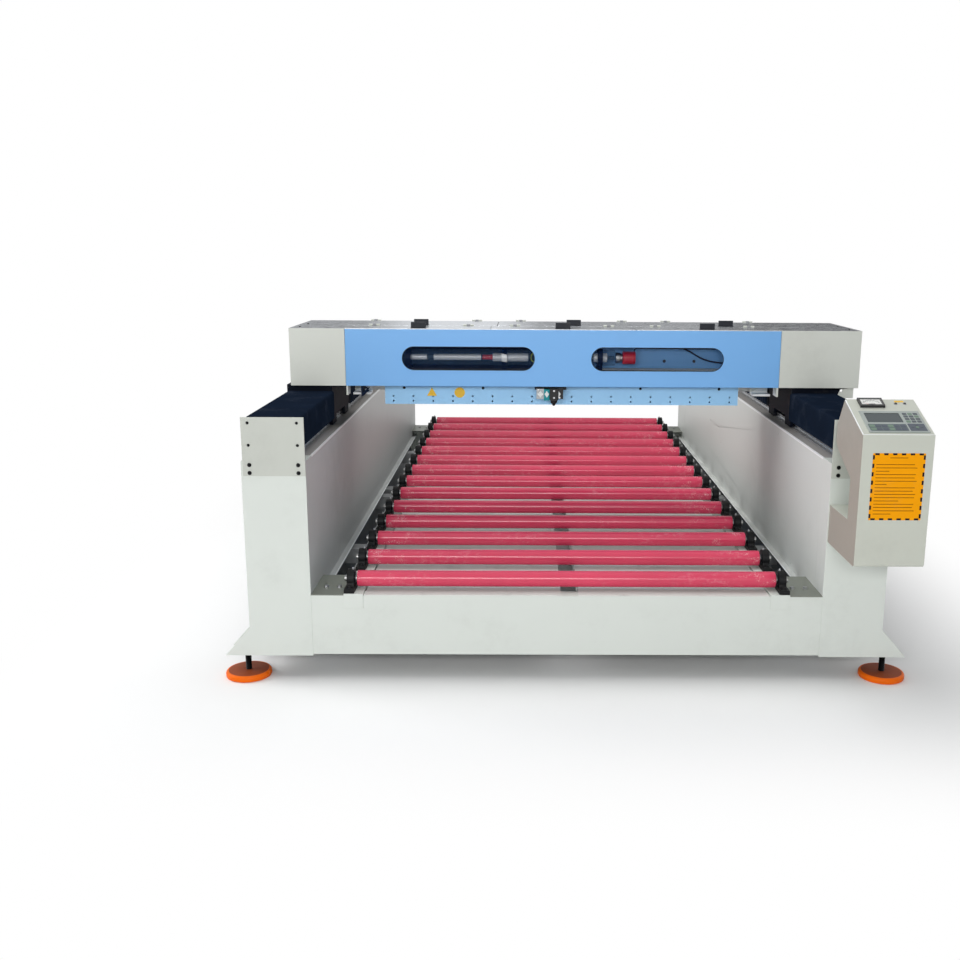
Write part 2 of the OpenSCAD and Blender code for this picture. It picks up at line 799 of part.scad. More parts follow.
// Folded end cover over a carriage; lid_x is where the rear lid ends.
module end_cover(width, lid_x) {
    x0 = half_cover + seam;
    x1 = half_cover + width;
    difference() {
        slab(x0, x1, g_front, g_back, gantry_foot, g_top);
        slab(x0 - eps, x1 - skin_t, g_front + skin_t, g_back - skin_t, gantry_foot - eps, g_top - skin_t);
        slab(x0 - eps, lid_x, lid_seam, g_back + eps, lid_z, g_top + eps);
    }
    slab(x0, x1, g_front, g_front + foot_flange_front, gantry_foot, gantry_foot + skin_t);
    slab(x0, x1, g_back - foot_flange_rear, g_back, gantry_foot, gantry_foot + skin_t);
}

module end_cover_right() {
    color("Gainsboro") end_cover(end_right_w, rear_shift + 1.5 * rear_lid_w);
}

module end_cover_left() {
    color("Gainsboro") mirror([1, 0, 0]) end_cover(end_left_w, 1.5 * rear_lid_w - rear_shift);
}

// Bridge handle standing on a lid.
module handle(x, d) {
    slab(x - handle_w / 2, x + handle_w / 2, d - handle_t / 2, d + handle_t / 2,
         g_top + handle_h - 6, g_top + handle_h);
    for (s = [-1, 1])
        slab(x + s * (handle_w / 2 - 4) - 4, x + s * (handle_w / 2 - 4) + 4,
             d - handle_t / 2, d + handle_t / 2, g_top, g_top + handle_h);
}

// Lid hinged along its rear edge at depth d1, with a lip, a handle and its hinge knuckles.
module lid(x0, w, d0, d1, handle_x) {
    axis_d = d1 + 1;
    color("WhiteSmoke") {
        difference() {
            slab(x0 + lid_gap, x0 + w - lid_gap, d0 + lid_gap, d1 - lid_gap, lid_z, g_top);
            for (x = lid_hinges(x0, w)) slab(x - 24, x + 24, d1 - 10, d1, lid_z - eps, g_top + eps);
        }
        slab(within(x0 + lip_in, lip_edge), within(x0 + w - lip_in, lip_edge), d0 + 26, d0 + 28,
             lid_z - lid_lip, lid_z);
    }
    color("#202020") {
        handle(handle_x, d0 + handle_back);
        for (x = lid_hinges(x0, w)) {
            slab(x - 6, x + 6, d1 - 22, axis_d - 2, g_top, g_top + 2);
            difference() {
                translate([x, at(axis_d), g_top + knuckle_r]) rotate([0, 90, 0])
                    cylinder(r = knuckle_r, h = knuckle_l - 1, center = true);
                translate([x, at(axis_d), g_top + knuckle_r]) rotate([0, 90, 0])
                    cylinder(r = pin_r + running, h = knuckle_l + 2, center = true);
            }
        }
    }
}

module front_lid(i) {
    lid(front_lid_x(i), front_lid_w, g_front, lid_seam, front_lid_x(i) + front_lid_w / 2);
}

module rear_lid(i) {
    lid(rear_lid_x(i), rear_lid_w, lid_seam + knuckle_gap, g_back, rear_lid_x(i) + rear_lid_w / 2);
}

module front_lid_left() front_lid(0);
module front_lid_centre() front_lid(1);
module front_lid_right() front_lid(2);
module rear_lid_left() rear_lid(0);
module rear_lid_centre() rear_lid(1);
module rear_lid_right() rear_lid(2);

// Welded carriage that lifts the beam over the bellows, on its four rail blocks.
module carriage() {
    top = beam_z - shelf_t;
    difference() {
        slab(car_x0, car_x1, car_d0, car_d1, car_z, top);
        slab(car_x0 + beam_t, car_x1 - beam_t, car_d0 + beam_t, car_d1 - beam_t, car_z + car_t, beam_z);
        translate([pinion_x, at(pinion_d), car_z - eps])
            cylinder(r = pinion_shaft_r + running, h = car_t + 2 * eps, $fn = 72);
    }
    difference() {
        slab(shelf_x0, car_x1, car_d0, car_d1, top, beam_z);
        slab(pinion_x - 34, pinion_x + 34, pinion_d - 34, pinion_d + 34, top - eps, beam_z + eps);
    }
    for (d = [car_d0 + 10, car_d1 - 10 - block_l]) difference() {
        slab(rail_x - block_half, rail_x + block_half, d, d + block_l, leg_top + 5, car_z);
        translate([rail_x, 0, leg_top - eps]) upright(d - eps, block_l + 2 * eps)
            polygon([[-rail_w / 2 - seat, 0], [rail_w / 2 + seat, 0], [rail_w / 2 + seat, rail_h + seat],
                     [-rail_w / 2 - seat, rail_h + seat]]);
    }
}

// Right carriage also carries the arm for the cable chain.
module gantry_carriages() {
    color("Gainsboro") {
        sides() carriage();
        difference() {
            slab(car_x1 - beam_t, car_x1 + 64, car_d0, car_d0 + beam_t, beam_z - 42, beam_z);
            y_hole(car_x1 + 18, car_d0 - eps, beam_z - 13, 5, beam_t + 2 * eps);
        }
    }
}

// ----------------------------------------------------------- X axis drive

// Rail on the beam's front face.
module x_rail() {
    rail_l = cover_w - 80;
    color("Silver") translate([0, at(beam_face), x_rail_z]) rotate([90, 0, 0]) difference() {
        rotate([0, 90, 0]) linear_extrude(rail_l, center = true)
            rotate([0, 0, 90]) rail_section(x_rail_w, x_rail_h);
        for (x = rail_holes(rail_l)) translate([x, 0, 0]) rail_hole(x_rail_h);
    }
}

// Flat belt round both pulleys.
module x_belt() {
    inner = pulley_r + seat;
    color("#202020") translate([0, at(pulley_at), belt_z]) difference() {
        union() {
            translate([-pulley_x, -inner - belt_t, 0]) cube([2 * pulley_x, 2 * (inner + belt_t), belt_w]);
            for (s = [-1, 1]) translate([s * pulley_x, 0, 0]) cylinder(r = inner + belt_t, h = belt_w);
        }
        translate([-pulley_x, -inner, -eps]) cube([2 * pulley_x, 2 * inner, belt_w + 2 * eps]);
        for (s = [-1, 1]) translate([s * pulley_x, 0, -eps]) cylinder(r = inner, h = belt_w + 2 * eps);
    }
}

// Toothed pulley with flanges, its axis upright.
module pulley(bore) {
    difference() {
        union() {
            cylinder(r = pulley_r, h = belt_w);
            translate([0, 0, -1.5]) cylinder(r = pulley_r + 4, h = 1.2);
            translate([0, 0, belt_w + 0.3]) cylinder(r = pulley_r + 4, h = 1.2);
            translate([0, 0, -1.5]) cylinder(r = pulley_r - 3, h = belt_w + 3);
        }
        if (bore > 0) translate([0, 0, -5]) cylinder(r = bore, h = belt_w + 10, $fn = 72);
        for (a = [0 : 20 : 340]) rotate([0, 0, a]) translate([pulley_r, 0, -eps])
            cube([1.6, 1.4, 2 * (belt_w + eps)], center = true);
    }
}

module x_drive_pulley() {
    color("Silver") translate([-pulley_x, at(pulley_at), belt_z]) {
        pulley(0);
        cylinder(r = idler_pin_r, h = 22);
    }
}

module x_idler_pulley() {
    color("Silver") translate([pulley_x, at(pulley_at), belt_z]) pulley(idler_pin_r + running);
}

// Motor body with its flange and rear cap, standing on z = 0.
module motor(size, l) {
    translate([-size / 2, -size / 2, 0]) cube([size, size, 8]);
    translate([-size / 2 + 2, -size / 2 + 2, 8]) cube([size - 4, size - 4, l - 26]);
    translate([-size / 2 + 5, -size / 2 + 5, l - 18]) cube([size - 10, size - 10, 18]);
}

// Two gantry motors on the carriages and the head's motor over its pulley.
module drive_motors() {
    color("#282828") {
        sides() translate([pinion_x, at(pinion_d), car_z + car_t]) motor(60, 118);
        translate([-pulley_x, at(pulley_at), belt_z + 22 + seat]) motor(42, 70);
        slab(-pulley_x - 16, -pulley_x + 16, pulley_at + 21, beam_face, belt_z + 24, belt_z + 60);
    }
}

// ----------------------------------------------------------------- optics

// Sealed glass tube with its metal collars and end cap.
module laser_tube() {
    color("LightCyan") translate([tube_x1, at(tube_at), tube_z]) rotate([0, -90, 0]) {
        cylinder(d = tube_dia, h = tube_l);
        translate([0, 0, -18]) cylinder(d1 = 30, d2 = tube_dia - 4, h = 18);
        translate([0, 0, -74]) cylinder(d = 38, h = 57);
        translate([0, 0, tube_l]) cylinder(d = 38, h = 26);
    }
}

// Saddle with a strap that holds the tube, on a foot from the beam.
module tube_saddle(x) {
    difference() {
        union() {
            slab(x - 10, x + 10, tube_at - 6, beam_face, tube_z - 44, tube_z - 32);
            slab(x - 10, x + 10, tube_at, beam_face, tube_z - 40, tube_z - 20);
            translate([x, at(tube_at), tube_z]) rotate([0, 90, 0])
                cylinder(r = tube_dia / 2 + 4, h = 20, center = true);
        }
        translate([x, at(tube_at), tube_z]) rotate([0, 90, 0])
            cylinder(r = tube_dia / 2 + running, h = 22, center = true);
    }
}

// Round mirror at 45 degrees in an angled holder; tilt turns the beam down or across.
module mirror_holder(z, tilt) {
    translate([mirror_x, at(tube_at), z]) rotate([0, tilt, 0]) {
        cylinder(r = 14, h = 5, center = true);
        translate([-18, -18, 2.4]) cube([36, 36, 5]);
        for (s = [-1, 1]) translate([s * 12, 12, 7]) cylinder(r = 3, h = 7);
    }
}

// Tube saddles and the two mirrors that bring the beam down to the head.
module optics_mounts() {
    color("DarkSlateGray") {
        for (x = [tube_x1 - 60, tube_x1 - tube_l / 2, tube_x1 - tube_l + 60]) tube_saddle(x);
        mirror_holder(tube_z, -135);
        mirror_holder(beam_line, -45);
        slab(mirror_x - 17, mirror_x - 9, tube_at - 6, beam_face, tube_z - 24, tube_z + 18);
        slab(mirror_x - 17, mirror_x - 9, tube_at - 14, beam_face - 22, beam_line - 12, gantry_foot);
        slab(mirror_x - 17, mirror_x - 9, beam_face - 22, beam_face + 12, beam_line + 8, gantry_foot);
    }
}

// ------------------------------------------------------------------- head

// Rail block, plate and belt clamp that run along the beam.
module head_carriage() {
    belt_front = pulley_at - pulley_r - seat - belt_t;
    color("Gray") {
        difference() {
            slab(head_x - 40, head_x + 40, beam_face - x_block_h, beam_face - 4,
                 x_rail_z - x_block_half, x_rail_z + x_block_half);
            slab(head_x - 41, head_x + 41, beam_face - x_rail_h - seat, beam_face,
                 x_rail_z - x_rail_w / 2 - seat, x_rail_z + x_rail_w / 2 + seat);
        }
        slab(head_x - 60, head_x + 60, plate_at, beam_face - x_block_h, strip_z + 62, belt_z - 6);
        difference() {
            slab(head_x - 20, head_x + 20, belt_front - 8, beam_face - x_block_h,
                 belt_z - 12, belt_z + belt_w);
            slab(head_x - 21, head_x + 21, belt_front - seat, belt_front + belt_t + seat,
                 belt_z - seat, belt_z + belt_w + eps);
        }
    }
}

// Alignment block, mirror block and the body that guides the lens tube.
module beam_head() {
    d0 = 2 * tube_at - plate_at;
    color("Teal") difference() {
        union() {
            slab(head_x - 54, head_x - 25, d0, plate_at, strip_z + 31, strip_z + 70);
            slab(head_x - 26, head_x - 5, d0 - 3, plate_at, strip_z + 26, strip_z + 68);
            slab(head_x - 6, head_x + 47, d0, plate_at, strip_z + 32, strip_z + 74);
            translate([lens_x, at(tube_at), strip_z + 25]) cylinder(r = 16, h = 20);
        }
        translate([lens_x, at(tube_at), strip_z + 20])
            cylinder(r = lens_tube_r + running, h = 49, $fn = 72);
        translate([head_x - 60, at(tube_at), beam_line]) rotate([0, 90, 0]) cylinder(r = 6, h = 75);
    }
}

// Sliding tube with the lens cell and the tapered nozzle.
module lens_tube() {
    color("#202020") translate([lens_x, at(tube_at), nozzle_z]) rotate_extrude($fn = 72)
        polygon([[1.5, 0], [3, 0], [12, 13], [14, 13], [14, 15], [lens_tube_r, 16], [lens_tube_r, 56],
                 [8, 56], [8, 14], [1.5, 6]]);
}

// -------------------------------------------------------- control cabinet

// Side outline of the cabinet in Y and Z, counter-clockwise from its rear foot.
function cab_outline() = [
    [at(0), cab_z], [at(0), cab_z + 125], [at(0) - 187, cab_z + 125], [at(0) - 187, cab_z + 254],
    [at(0) - 41, cab_z + 318], [at(0) - 20, cab_z + 337], [at(0) - 20, cab_z + 392],
    [at(0) - cab_d + panel_run, cab_z + cab_front_h + panel_rise],
    [at(0) - cab_d, cab_z + cab_front_h], [at(0) - cab_d, cab_z + 6], [at(0) - cab_d + 6, cab_z]];

// Unit normal to the right of the edge from a to b.
function right_of(a, b) = [b[1] - a[1], a[0] - b[0]] / norm(b - a);

// Counter-clockwise outline moved inwards by t.
function inset(p, t) = [for (i = [0 : len(p) - 1])
    let (m = len(p), n1 = right_of(p[(i + m - 1) % m], p[i]), n2 = right_of(p[i], p[(i + 1) % m]))
    p[i] - t * (n1 + n2) / (1 + n1 * n2)];

// Places a shape on the sloped panel: x across, y up the slope from its front edge, z outwards.
module on_panel() {
    translate([cab_x0, at(0) - cab_d, cab_z + cab_front_h]) rotate([panel_tilt, 0, 0]) children();
}

panel_left = 21;                    // control unit's edge inside the cabinet's left side
panel_right = 11;
keypad = [panel_left, 12, cab_w - panel_left - panel_right, 124];   // place and size of the control unit
meter = [panel_left + 13, 160, 75, 48];                             // place and size of the meter
button_at = [[cab_w - 64, 184], [cab_w - 36, 184]];
button_r = 4;
button_travel = 2;

module cabinet_shell() {
    color("Gainsboro") {
        difference() {
            across(cab_x0, cab_w) polygon(cab_outline());
            across(cab_x0 + cab_t, cab_w - 2 * cab_t) polygon(inset(cab_outline(), cab_t));
            slab(cab_x0 + 20, cab_x1 - 20, -cab_t - eps, eps, cab_z + 20, cab_z + 105);
            on_panel() {
                translate([meter[0] + 8, meter[1] + 4, -10]) cube([meter[2] - 16, meter[3] - 8, 20]);
                translate([keypad[0] + 8, keypad[1] + 8, -10]) cube([keypad[2] - 16, keypad[3] - 16, 20]);
                for (b = button_at) translate([b[0], b[1], -10]) cylinder(r = button_r + seat, h = 20);
            }
        }
        // bushes that guide the buttons
        on_panel() for (b = button_at) translate([b[0], b[1], -8]) difference() {
            cylinder(r = button_r + 2.5, h = 8 - cab_t + eps);
            translate([0, 0, -eps]) cylinder(r = button_r + seat, h = 9);
        }
    }
}

// Control unit: face plate with a display window and a shallow case behind it.
module control_panel() {
    color("Silver") on_panel() difference() {
        union() {
            translate([keypad[0], keypad[1], 0]) cube([keypad[2], keypad[3], 3]);
            translate([keypad[0] + 9, keypad[1] + 9, -28]) cube([keypad[2] - 18, keypad[3] - 18, 28 + eps]);
        }
        translate([keypad[0] + 10, keypad[1] + 54, 1.6]) cube([108, 58, 2]);
    }
}

module ammeter() {
    color("#202020") on_panel() difference() {
        union() {
            translate([meter[0], meter[1], 0]) cube([meter[2], meter[3], 8]);
            translate([meter[0] + meter[2] / 2, meter[1] + meter[3] / 2, -24])
                cylinder(r = meter[3] / 2 - 6, h = 24 + eps);
        }
        translate([meter[0] + 6, meter[1] + 8, 5]) cube([meter[2] - 12, meter[3] - 13, 4]);
    }
}

module push_button(b) {
    color("#202020") on_panel() translate([b[0], b[1], 0]) {
        translate([0, 0, -12]) cylinder(r = button_r, h = 12 + button_travel + 1);
        translate([0, 0, -14]) cylinder(r = button_r + 1.5, h = 3);
    }
}

module button_left() push_button(button_at[0]);
module button_right() push_button(button_at[1]);

// ---------------------------------------------------------------- drawing

front_frame();
rear_frame();
side_beam_left();
side_beam_right();
roller_bars();
bed_cross_members();
deck_sheets();
pillow_blocks();
bellows_end_plates();
y_rails();
y_racks();
levelling_feet();
cabinet_shell();
control_panel();
ammeter();
button_left();
button_right();
bellows_front_left();
bellows_front_right();
bellows_rear_left();
bellows_rear_right();
gantry_beam();
gantry_housing();
front_cover();
window_panes();
end_cover_left();
end_cover_right();
front_lid_left();
front_lid_centre();
front_lid_right();
rear_lid_left();
rear_lid_centre();
rear_lid_right();
laser_tube();
optics_mounts();
x_rail();
x_belt();
drive_motors();
gantry_carriages();
pinion_left();
pinion_right();
x_drive_pulley();
x_idler_pulley();
head_carriage();
beam_head();
lens_tube();
for (i = [0 : roller_count - 1])
    roller(i);
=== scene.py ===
"""Looks of a roller-bed laser cutter: finishes, fine pieces, light and camera.

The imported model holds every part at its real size. This script dresses those parts,
swaps the few that need a finer surface, and adds the small pieces that stay out of
the solid model: screws, seals, pleats, dials, keys, wires and plates.
Lengths are in metres. A depth d is counted along +Y from the front face of the legs.
"""

import logging
import math
from dataclasses import dataclass, field
from enum import Enum
from functools import cached_property
from typing import Callable, Iterable, Sequence

import bpy
import numpy as np
from bpy.types import ID, Material, Node, NodeSocket, NodeTree, Object
from mathutils import Matrix, Vector


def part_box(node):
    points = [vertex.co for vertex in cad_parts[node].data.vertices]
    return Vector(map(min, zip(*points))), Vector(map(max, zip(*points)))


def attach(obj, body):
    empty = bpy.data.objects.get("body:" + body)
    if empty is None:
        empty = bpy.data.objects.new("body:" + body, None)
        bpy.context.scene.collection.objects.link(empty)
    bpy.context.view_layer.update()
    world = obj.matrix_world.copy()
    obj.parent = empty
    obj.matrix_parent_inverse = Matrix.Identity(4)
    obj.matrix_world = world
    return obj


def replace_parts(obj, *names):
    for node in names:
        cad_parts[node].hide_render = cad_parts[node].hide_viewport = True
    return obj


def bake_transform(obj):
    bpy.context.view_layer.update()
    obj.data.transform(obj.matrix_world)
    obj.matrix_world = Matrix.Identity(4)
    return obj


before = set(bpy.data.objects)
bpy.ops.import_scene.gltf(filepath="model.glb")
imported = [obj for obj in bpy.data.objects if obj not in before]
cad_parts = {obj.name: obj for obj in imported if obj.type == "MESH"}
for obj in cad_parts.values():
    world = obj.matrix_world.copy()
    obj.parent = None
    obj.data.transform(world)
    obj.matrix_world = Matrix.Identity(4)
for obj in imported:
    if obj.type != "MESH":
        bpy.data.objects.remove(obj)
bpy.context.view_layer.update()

log = logging.getLogger("laser_cutter")
MM = 0.001
Array = np.ndarray
ORIGIN = (0.0, 0.0, 0.0)


# ------------------------------------------------------------------ choices


class Side(Enum):
    """Left or right of the machine, as the sign of X."""

    LEFT = -1
    RIGHT = 1


class Axis(Enum):
    """A row axis, with the order of the two axes that span the plane across it."""

    X = (0, 1, 2)
    Y = (1, 2, 0)
    Z = (2, 0, 1)


class Head(Enum):
    """Drive of a screw's head."""

    HEX = 6
    SOCKET = 24


# ----------------------------------------------------------- mesh functions


@dataclass
class Patch:
    """A stretch of surface: vertices, faces and how they are shaded.

    Attributes:
        points: vertex places, one row each.
        faces: rows of vertex numbers, all of one length.
        more: a second set of faces of another length.
        finish: number of the material that the patch wears on its piece.
    """

    points: Array
    faces: Array
    more: Array = field(default_factory=lambda: np.zeros((0, 3), int))
    finish: int = 0

    def moved(self, offset: Sequence[float]) -> "Patch":
        """Returns the patch shifted by an offset."""
        return Patch(self.points + np.asarray(offset, float), self.faces, self.more, self.finish)

    def turned(self, matrix: Array) -> "Patch":
        """Returns the patch with each point multiplied by a rotation matrix."""
        return Patch(self.points @ np.asarray(matrix, float).T, self.faces, self.more, self.finish)

    def mirrored(self) -> "Patch":
        """Returns the mirror image across X = 0, its faces turned to point outwards again."""
        flip = np.array([-1.0, 1.0, 1.0])
        return Patch(self.points * flip, self.faces[:, ::-1], self.more[:, ::-1], self.finish)


def mm(*rows: Sequence[float]) -> list[tuple[float, ...]]:
    """Turns rows of millimetres into metres."""
    return [tuple(value * MM for value in row) for row in rows]


def both_sides(patches: Iterable[Patch]) -> list[Patch]:
    """Returns each patch followed by its mirror image."""
    return [twin for patch in patches for twin in (patch, patch.mirrored())]


def middle_of(node: str) -> tuple[float, ...]:
    """Returns the X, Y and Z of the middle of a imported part's box."""
    return tuple((low + high) / 2.0 for low, high in zip(*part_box(node)))


def grid_faces(rows: int, columns: int, wrap_rows: bool = False, wrap_columns: bool = False) -> Array:
    """Quads of a grid whose vertex at row i and column j has number i * columns + j.

    Args:
        rows: number of rows of vertices.
        columns: number of columns of vertices.
        wrap_rows: join the last row to the first.
        wrap_columns: join the last column to the first.

    Returns:
        One row of four vertex numbers for each quad.
    """
    i = np.arange(rows if wrap_rows else rows - 1)
    j = np.arange(columns if wrap_columns else columns - 1)
    i, j = (a.ravel() for a in np.meshgrid(i, j, indexing="ij"))
    i2, j2 = (i + 1) % rows, (j + 1) % columns
    return np.stack([i * columns + j, i * columns + j2, i2 * columns + j2, i2 * columns + j], axis=1)


def revolved(profile: Sequence[tuple[float, float]], axis: Axis, centre: Sequence[float],
             steps: int = 48, finish: int = 0) -> Patch:
    """Turns a profile round an axis: point (r cos a, r sin a, h) for each (r, h) and angle a.

    Args:
        profile: pairs of radius and height, running so that the outside is on the right.
        axis: direction of the heights.
        centre: point on the axis where the height is 0.
        steps: number of angles.
        finish: material number.

    Returns:
        The surface as quads, open at an end whose radius isn't 0.
    """
    rim = np.asarray(profile, float)
    angle = np.linspace(0.0, 2.0 * math.pi, steps, endpoint=False)
    points = np.zeros((len(rim), steps, 3))
    along, first, second = axis.value
    points[..., along] = rim[:, 1][:, None]
    points[..., first] = rim[:, 0][:, None] * np.cos(angle)
    points[..., second] = rim[:, 0][:, None] * np.sin(angle)
    faces = grid_faces(len(rim), steps, wrap_columns=True)
    return Patch(points.reshape(-1, 3) + np.asarray(centre, float), faces, finish=finish)


def rounded_profile(radius: float, low: float, high: float, edge: float, turns: int = 3) -> list[tuple[float, float]]:
    """Profile of a disc or rod with quarter-round edges, closed on the axis at both ends.

    Args:
        radius: outer radius.
        low: height of one end.
        high: height of the other end.
        edge: radius of the rounding.
        turns: points in each quarter circle less one.

    Returns:
        Pairs of radius and height from the low end to the high end.
    """
    quarter = np.linspace(0.0, math.pi / 2.0, turns + 1)
    bottom = [(radius - edge + edge * math.sin(a), low + edge - edge * math.cos(a)) for a in quarter]
    top = [(radius - edge + edge * math.cos(a), high - edge + edge * math.sin(a)) for a in quarter]
    return [(1e-6, low)] + bottom + top + [(1e-6, high)]


def block(low: Sequence[float], high: Sequence[float], edge: float, finish: int = 0) -> Patch:
    """A box with chamfered edges: each corner is three points, each moved in along two axes.

    Args:
        low: lowest corner.
        high: highest corner.
        edge: width of the chamfer.
        finish: material number.

    Returns:
        Six faces, twelve chamfers and eight corner triangles.
    """
    low, high = np.asarray(low, float), np.asarray(high, float)
    signs = np.array([[x, y, z] for x in (0, 1) for y in (0, 1) for z in (0, 1)])
    corner = np.where(signs == 1, high, low)
    inwards = np.where(signs == 1, -edge, edge)
    keep = 1.0 - np.eye(3)
    points = (corner[:, None, :] + inwards[:, None, :] * keep[None]).reshape(-1, 3)
    quads, triangles = [], []
    number = {tuple(s): i for i, s in enumerate(signs.tolist())}
    for axis in range(3):
        a, b = [k for k in range(3) if k != axis]
        for end in (0, 1):
            loop = []
            for sa, sb in ((0, 0), (1, 0), (1, 1), (0, 1)):
                s = [0, 0, 0]
                s[axis], s[a], s[b] = end, sa, sb
                loop.append(number[tuple(s)] * 3 + axis)
            quads.append(loop)
        for sa in (0, 1):
            for sb in (0, 1):
                ends = []
                for end in (0, 1):
                    s = [0, 0, 0]
                    s[axis], s[a], s[b] = end, sa, sb
                    ends.append(number[tuple(s)])
                quads.append([ends[0] * 3 + a, ends[0] * 3 + b, ends[1] * 3 + b, ends[1] * 3 + a])
    for i in range(8):
        triangles.append([i * 3, i * 3 + 1, i * 3 + 2])
    middle = (low + high) / 2.0
    return Patch(points, facing_out(points, np.array(quads), middle),
                 facing_out(points, np.array(triangles), middle), finish)


def facing_out(points: Array, faces: Array, middle: Array) -> Array:
    """Turns each face round whose normal points towards the middle of a convex form."""
    a, b, c = (points[faces[:, k]] for k in range(3))
    normal = np.cross(b - a, c - a)
    outwards = np.einsum("ij,ij->i", normal, points[faces].mean(axis=1) - middle) > 0.0
    return np.where(outwards[:, None], faces, faces[:, ::-1])


def prism(outline: Array, axis: Axis, low: float, high: float, edge: float = 0.0, finish: int = 0) -> Patch:
    """Carries a closed outline along an axis, drawn in by the edge width at both ends.

    Args:
        outline: counter-clockwise points in the plane across the axis.
        axis: direction of the extrusion.
        low: where it starts.
        high: where it ends.
        edge: width of the chamfer round both ends.
        finish: material number.

    Returns:
        The wall as quads, with each end as a fan of triangles round its middle.
    """
    outline = np.asarray(outline, float)
    inner = drawn_in(outline, edge) if edge > 0.0 else outline
    levels = [(inner, low), (outline, low + edge), (outline, high - edge), (inner, high)]
    if edge <= 0.0:
        levels = [(outline, low), (outline, high)]
    along, first, second = axis.value
    rings = np.zeros((len(levels), len(outline), 3))
    for k, (ring, height) in enumerate(levels):
        rings[k, :, first], rings[k, :, second], rings[k, :, along] = ring[:, 0], ring[:, 1], height
    n = len(outline)
    walls = grid_faces(len(levels), n, wrap_columns=True)
    ends = rings[[0, -1]].mean(axis=1)
    points = np.vstack([rings.reshape(-1, 3), ends])
    j = np.arange(n)
    bottom, top = len(points) - 2, len(points) - 1
    last = (len(levels) - 1) * n
    caps = np.vstack([np.stack([(j + 1) % n, j, np.full(n, bottom)], 1),
                      np.stack([last + j, last + (j + 1) % n, np.full(n, top)], 1)])
    return Patch(points, walls, caps, finish)


def drawn_in(outline: Array, width: float) -> Array:
    """Moves each side of a counter-clockwise outline inwards: p + w (n1 + n2) / (1 + n1 . n2)."""
    before = outline - np.roll(outline, 1, axis=0)
    after = np.roll(outline, -1, axis=0) - outline
    n1, n2 = (np.stack([-e[:, 1], e[:, 0]], 1) / np.linalg.norm(e, axis=1)[:, None] for e in (before, after))
    share = 1.0 + np.einsum("ij,ij->i", n1, n2)
    return outline + width * (n1 + n2) / share[:, None]


def slot_outline(length: float, height: float, steps: int = 24) -> Array:
    """A straight slot with round ends, centred on (0, 0), counter-clockwise."""
    r = height / 2.0
    a = np.linspace(-math.pi / 2.0, math.pi / 2.0, steps)
    right = np.stack([length / 2.0 - r + r * np.cos(a), r * np.sin(a)], 1)
    return np.vstack([right, -right])


def circle_outline(radius: float, steps: int = 24) -> Array:
    """Points of a circle round (0, 0), counter-clockwise."""
    a = np.linspace(0.0, 2.0 * math.pi, steps, endpoint=False)
    return np.stack([radius * np.cos(a), radius * np.sin(a)], 1)


def rounded_rectangle(width: float, height: float, radius: float, steps: int = 5) -> Array:
    """A rectangle with quarter-round corners, centred on (0, 0), counter-clockwise."""
    a = np.linspace(0.0, math.pi / 2.0, steps)
    parts = []
    for k, (sx, sy) in enumerate(((1, 1), (-1, 1), (-1, -1), (1, -1))):
        t = a + k * math.pi / 2.0
        centre = np.array([sx * (width / 2.0 - radius), sy * (height / 2.0 - radius)])
        parts.append(centre + radius * np.stack([np.cos(t), np.sin(t)], 1))
    return np.vstack(parts)


def frame_outline_patch(outer: Array, inner: Array, axis: Axis, low: float, high: float, finish: int = 0) -> Patch:
    """A flat ring between two outlines of as many points, given a thickness.

    Args:
        outer: outer outline, counter-clockwise.
        inner: inner outline, point for point with the outer one.
        axis: direction of the thickness.
        low: where it starts.
        high: where it ends.
        finish: material number.

    Returns:
        Four bands of quads that close on themselves.
    """
    along, first, second = axis.value
    rings = np.zeros((4, len(outer), 3))
    for k, (ring, height) in enumerate(((outer, low), (outer, high), (inner, high), (inner, low))):
        rings[k, :, first], rings[k, :, second], rings[k, :, along] = ring[:, 0], ring[:, 1], height
    return Patch(rings.reshape(-1, 3), grid_faces(4, len(outer), True, True), finish=finish)


def smooth_path(points: Sequence[Sequence[float]], steps: int) -> Array:
    """Catmull-Rom curve through given points, read at evenly spaced parameters.

    Args:
        points: places that the curve passes through.
        steps: number of points wanted.

    Returns:
        The curve's points.
    """
    p = np.asarray(points, float)
    p = np.vstack([2 * p[0] - p[1], p, 2 * p[-1] - p[-2]])
    u = np.linspace(0.0, len(p) - 3 - 1e-9, steps)
    k = u.astype(int)
    t = (u - k)[:, None]
    a, b, c, d = p[k], p[k + 1], p[k + 2], p[k + 3]
    return 0.5 * (2 * b + (c - a) * t + (2 * a - 5 * b + 4 * c - d) * t**2 + (3 * b - a - 3 * c + d) * t**3)


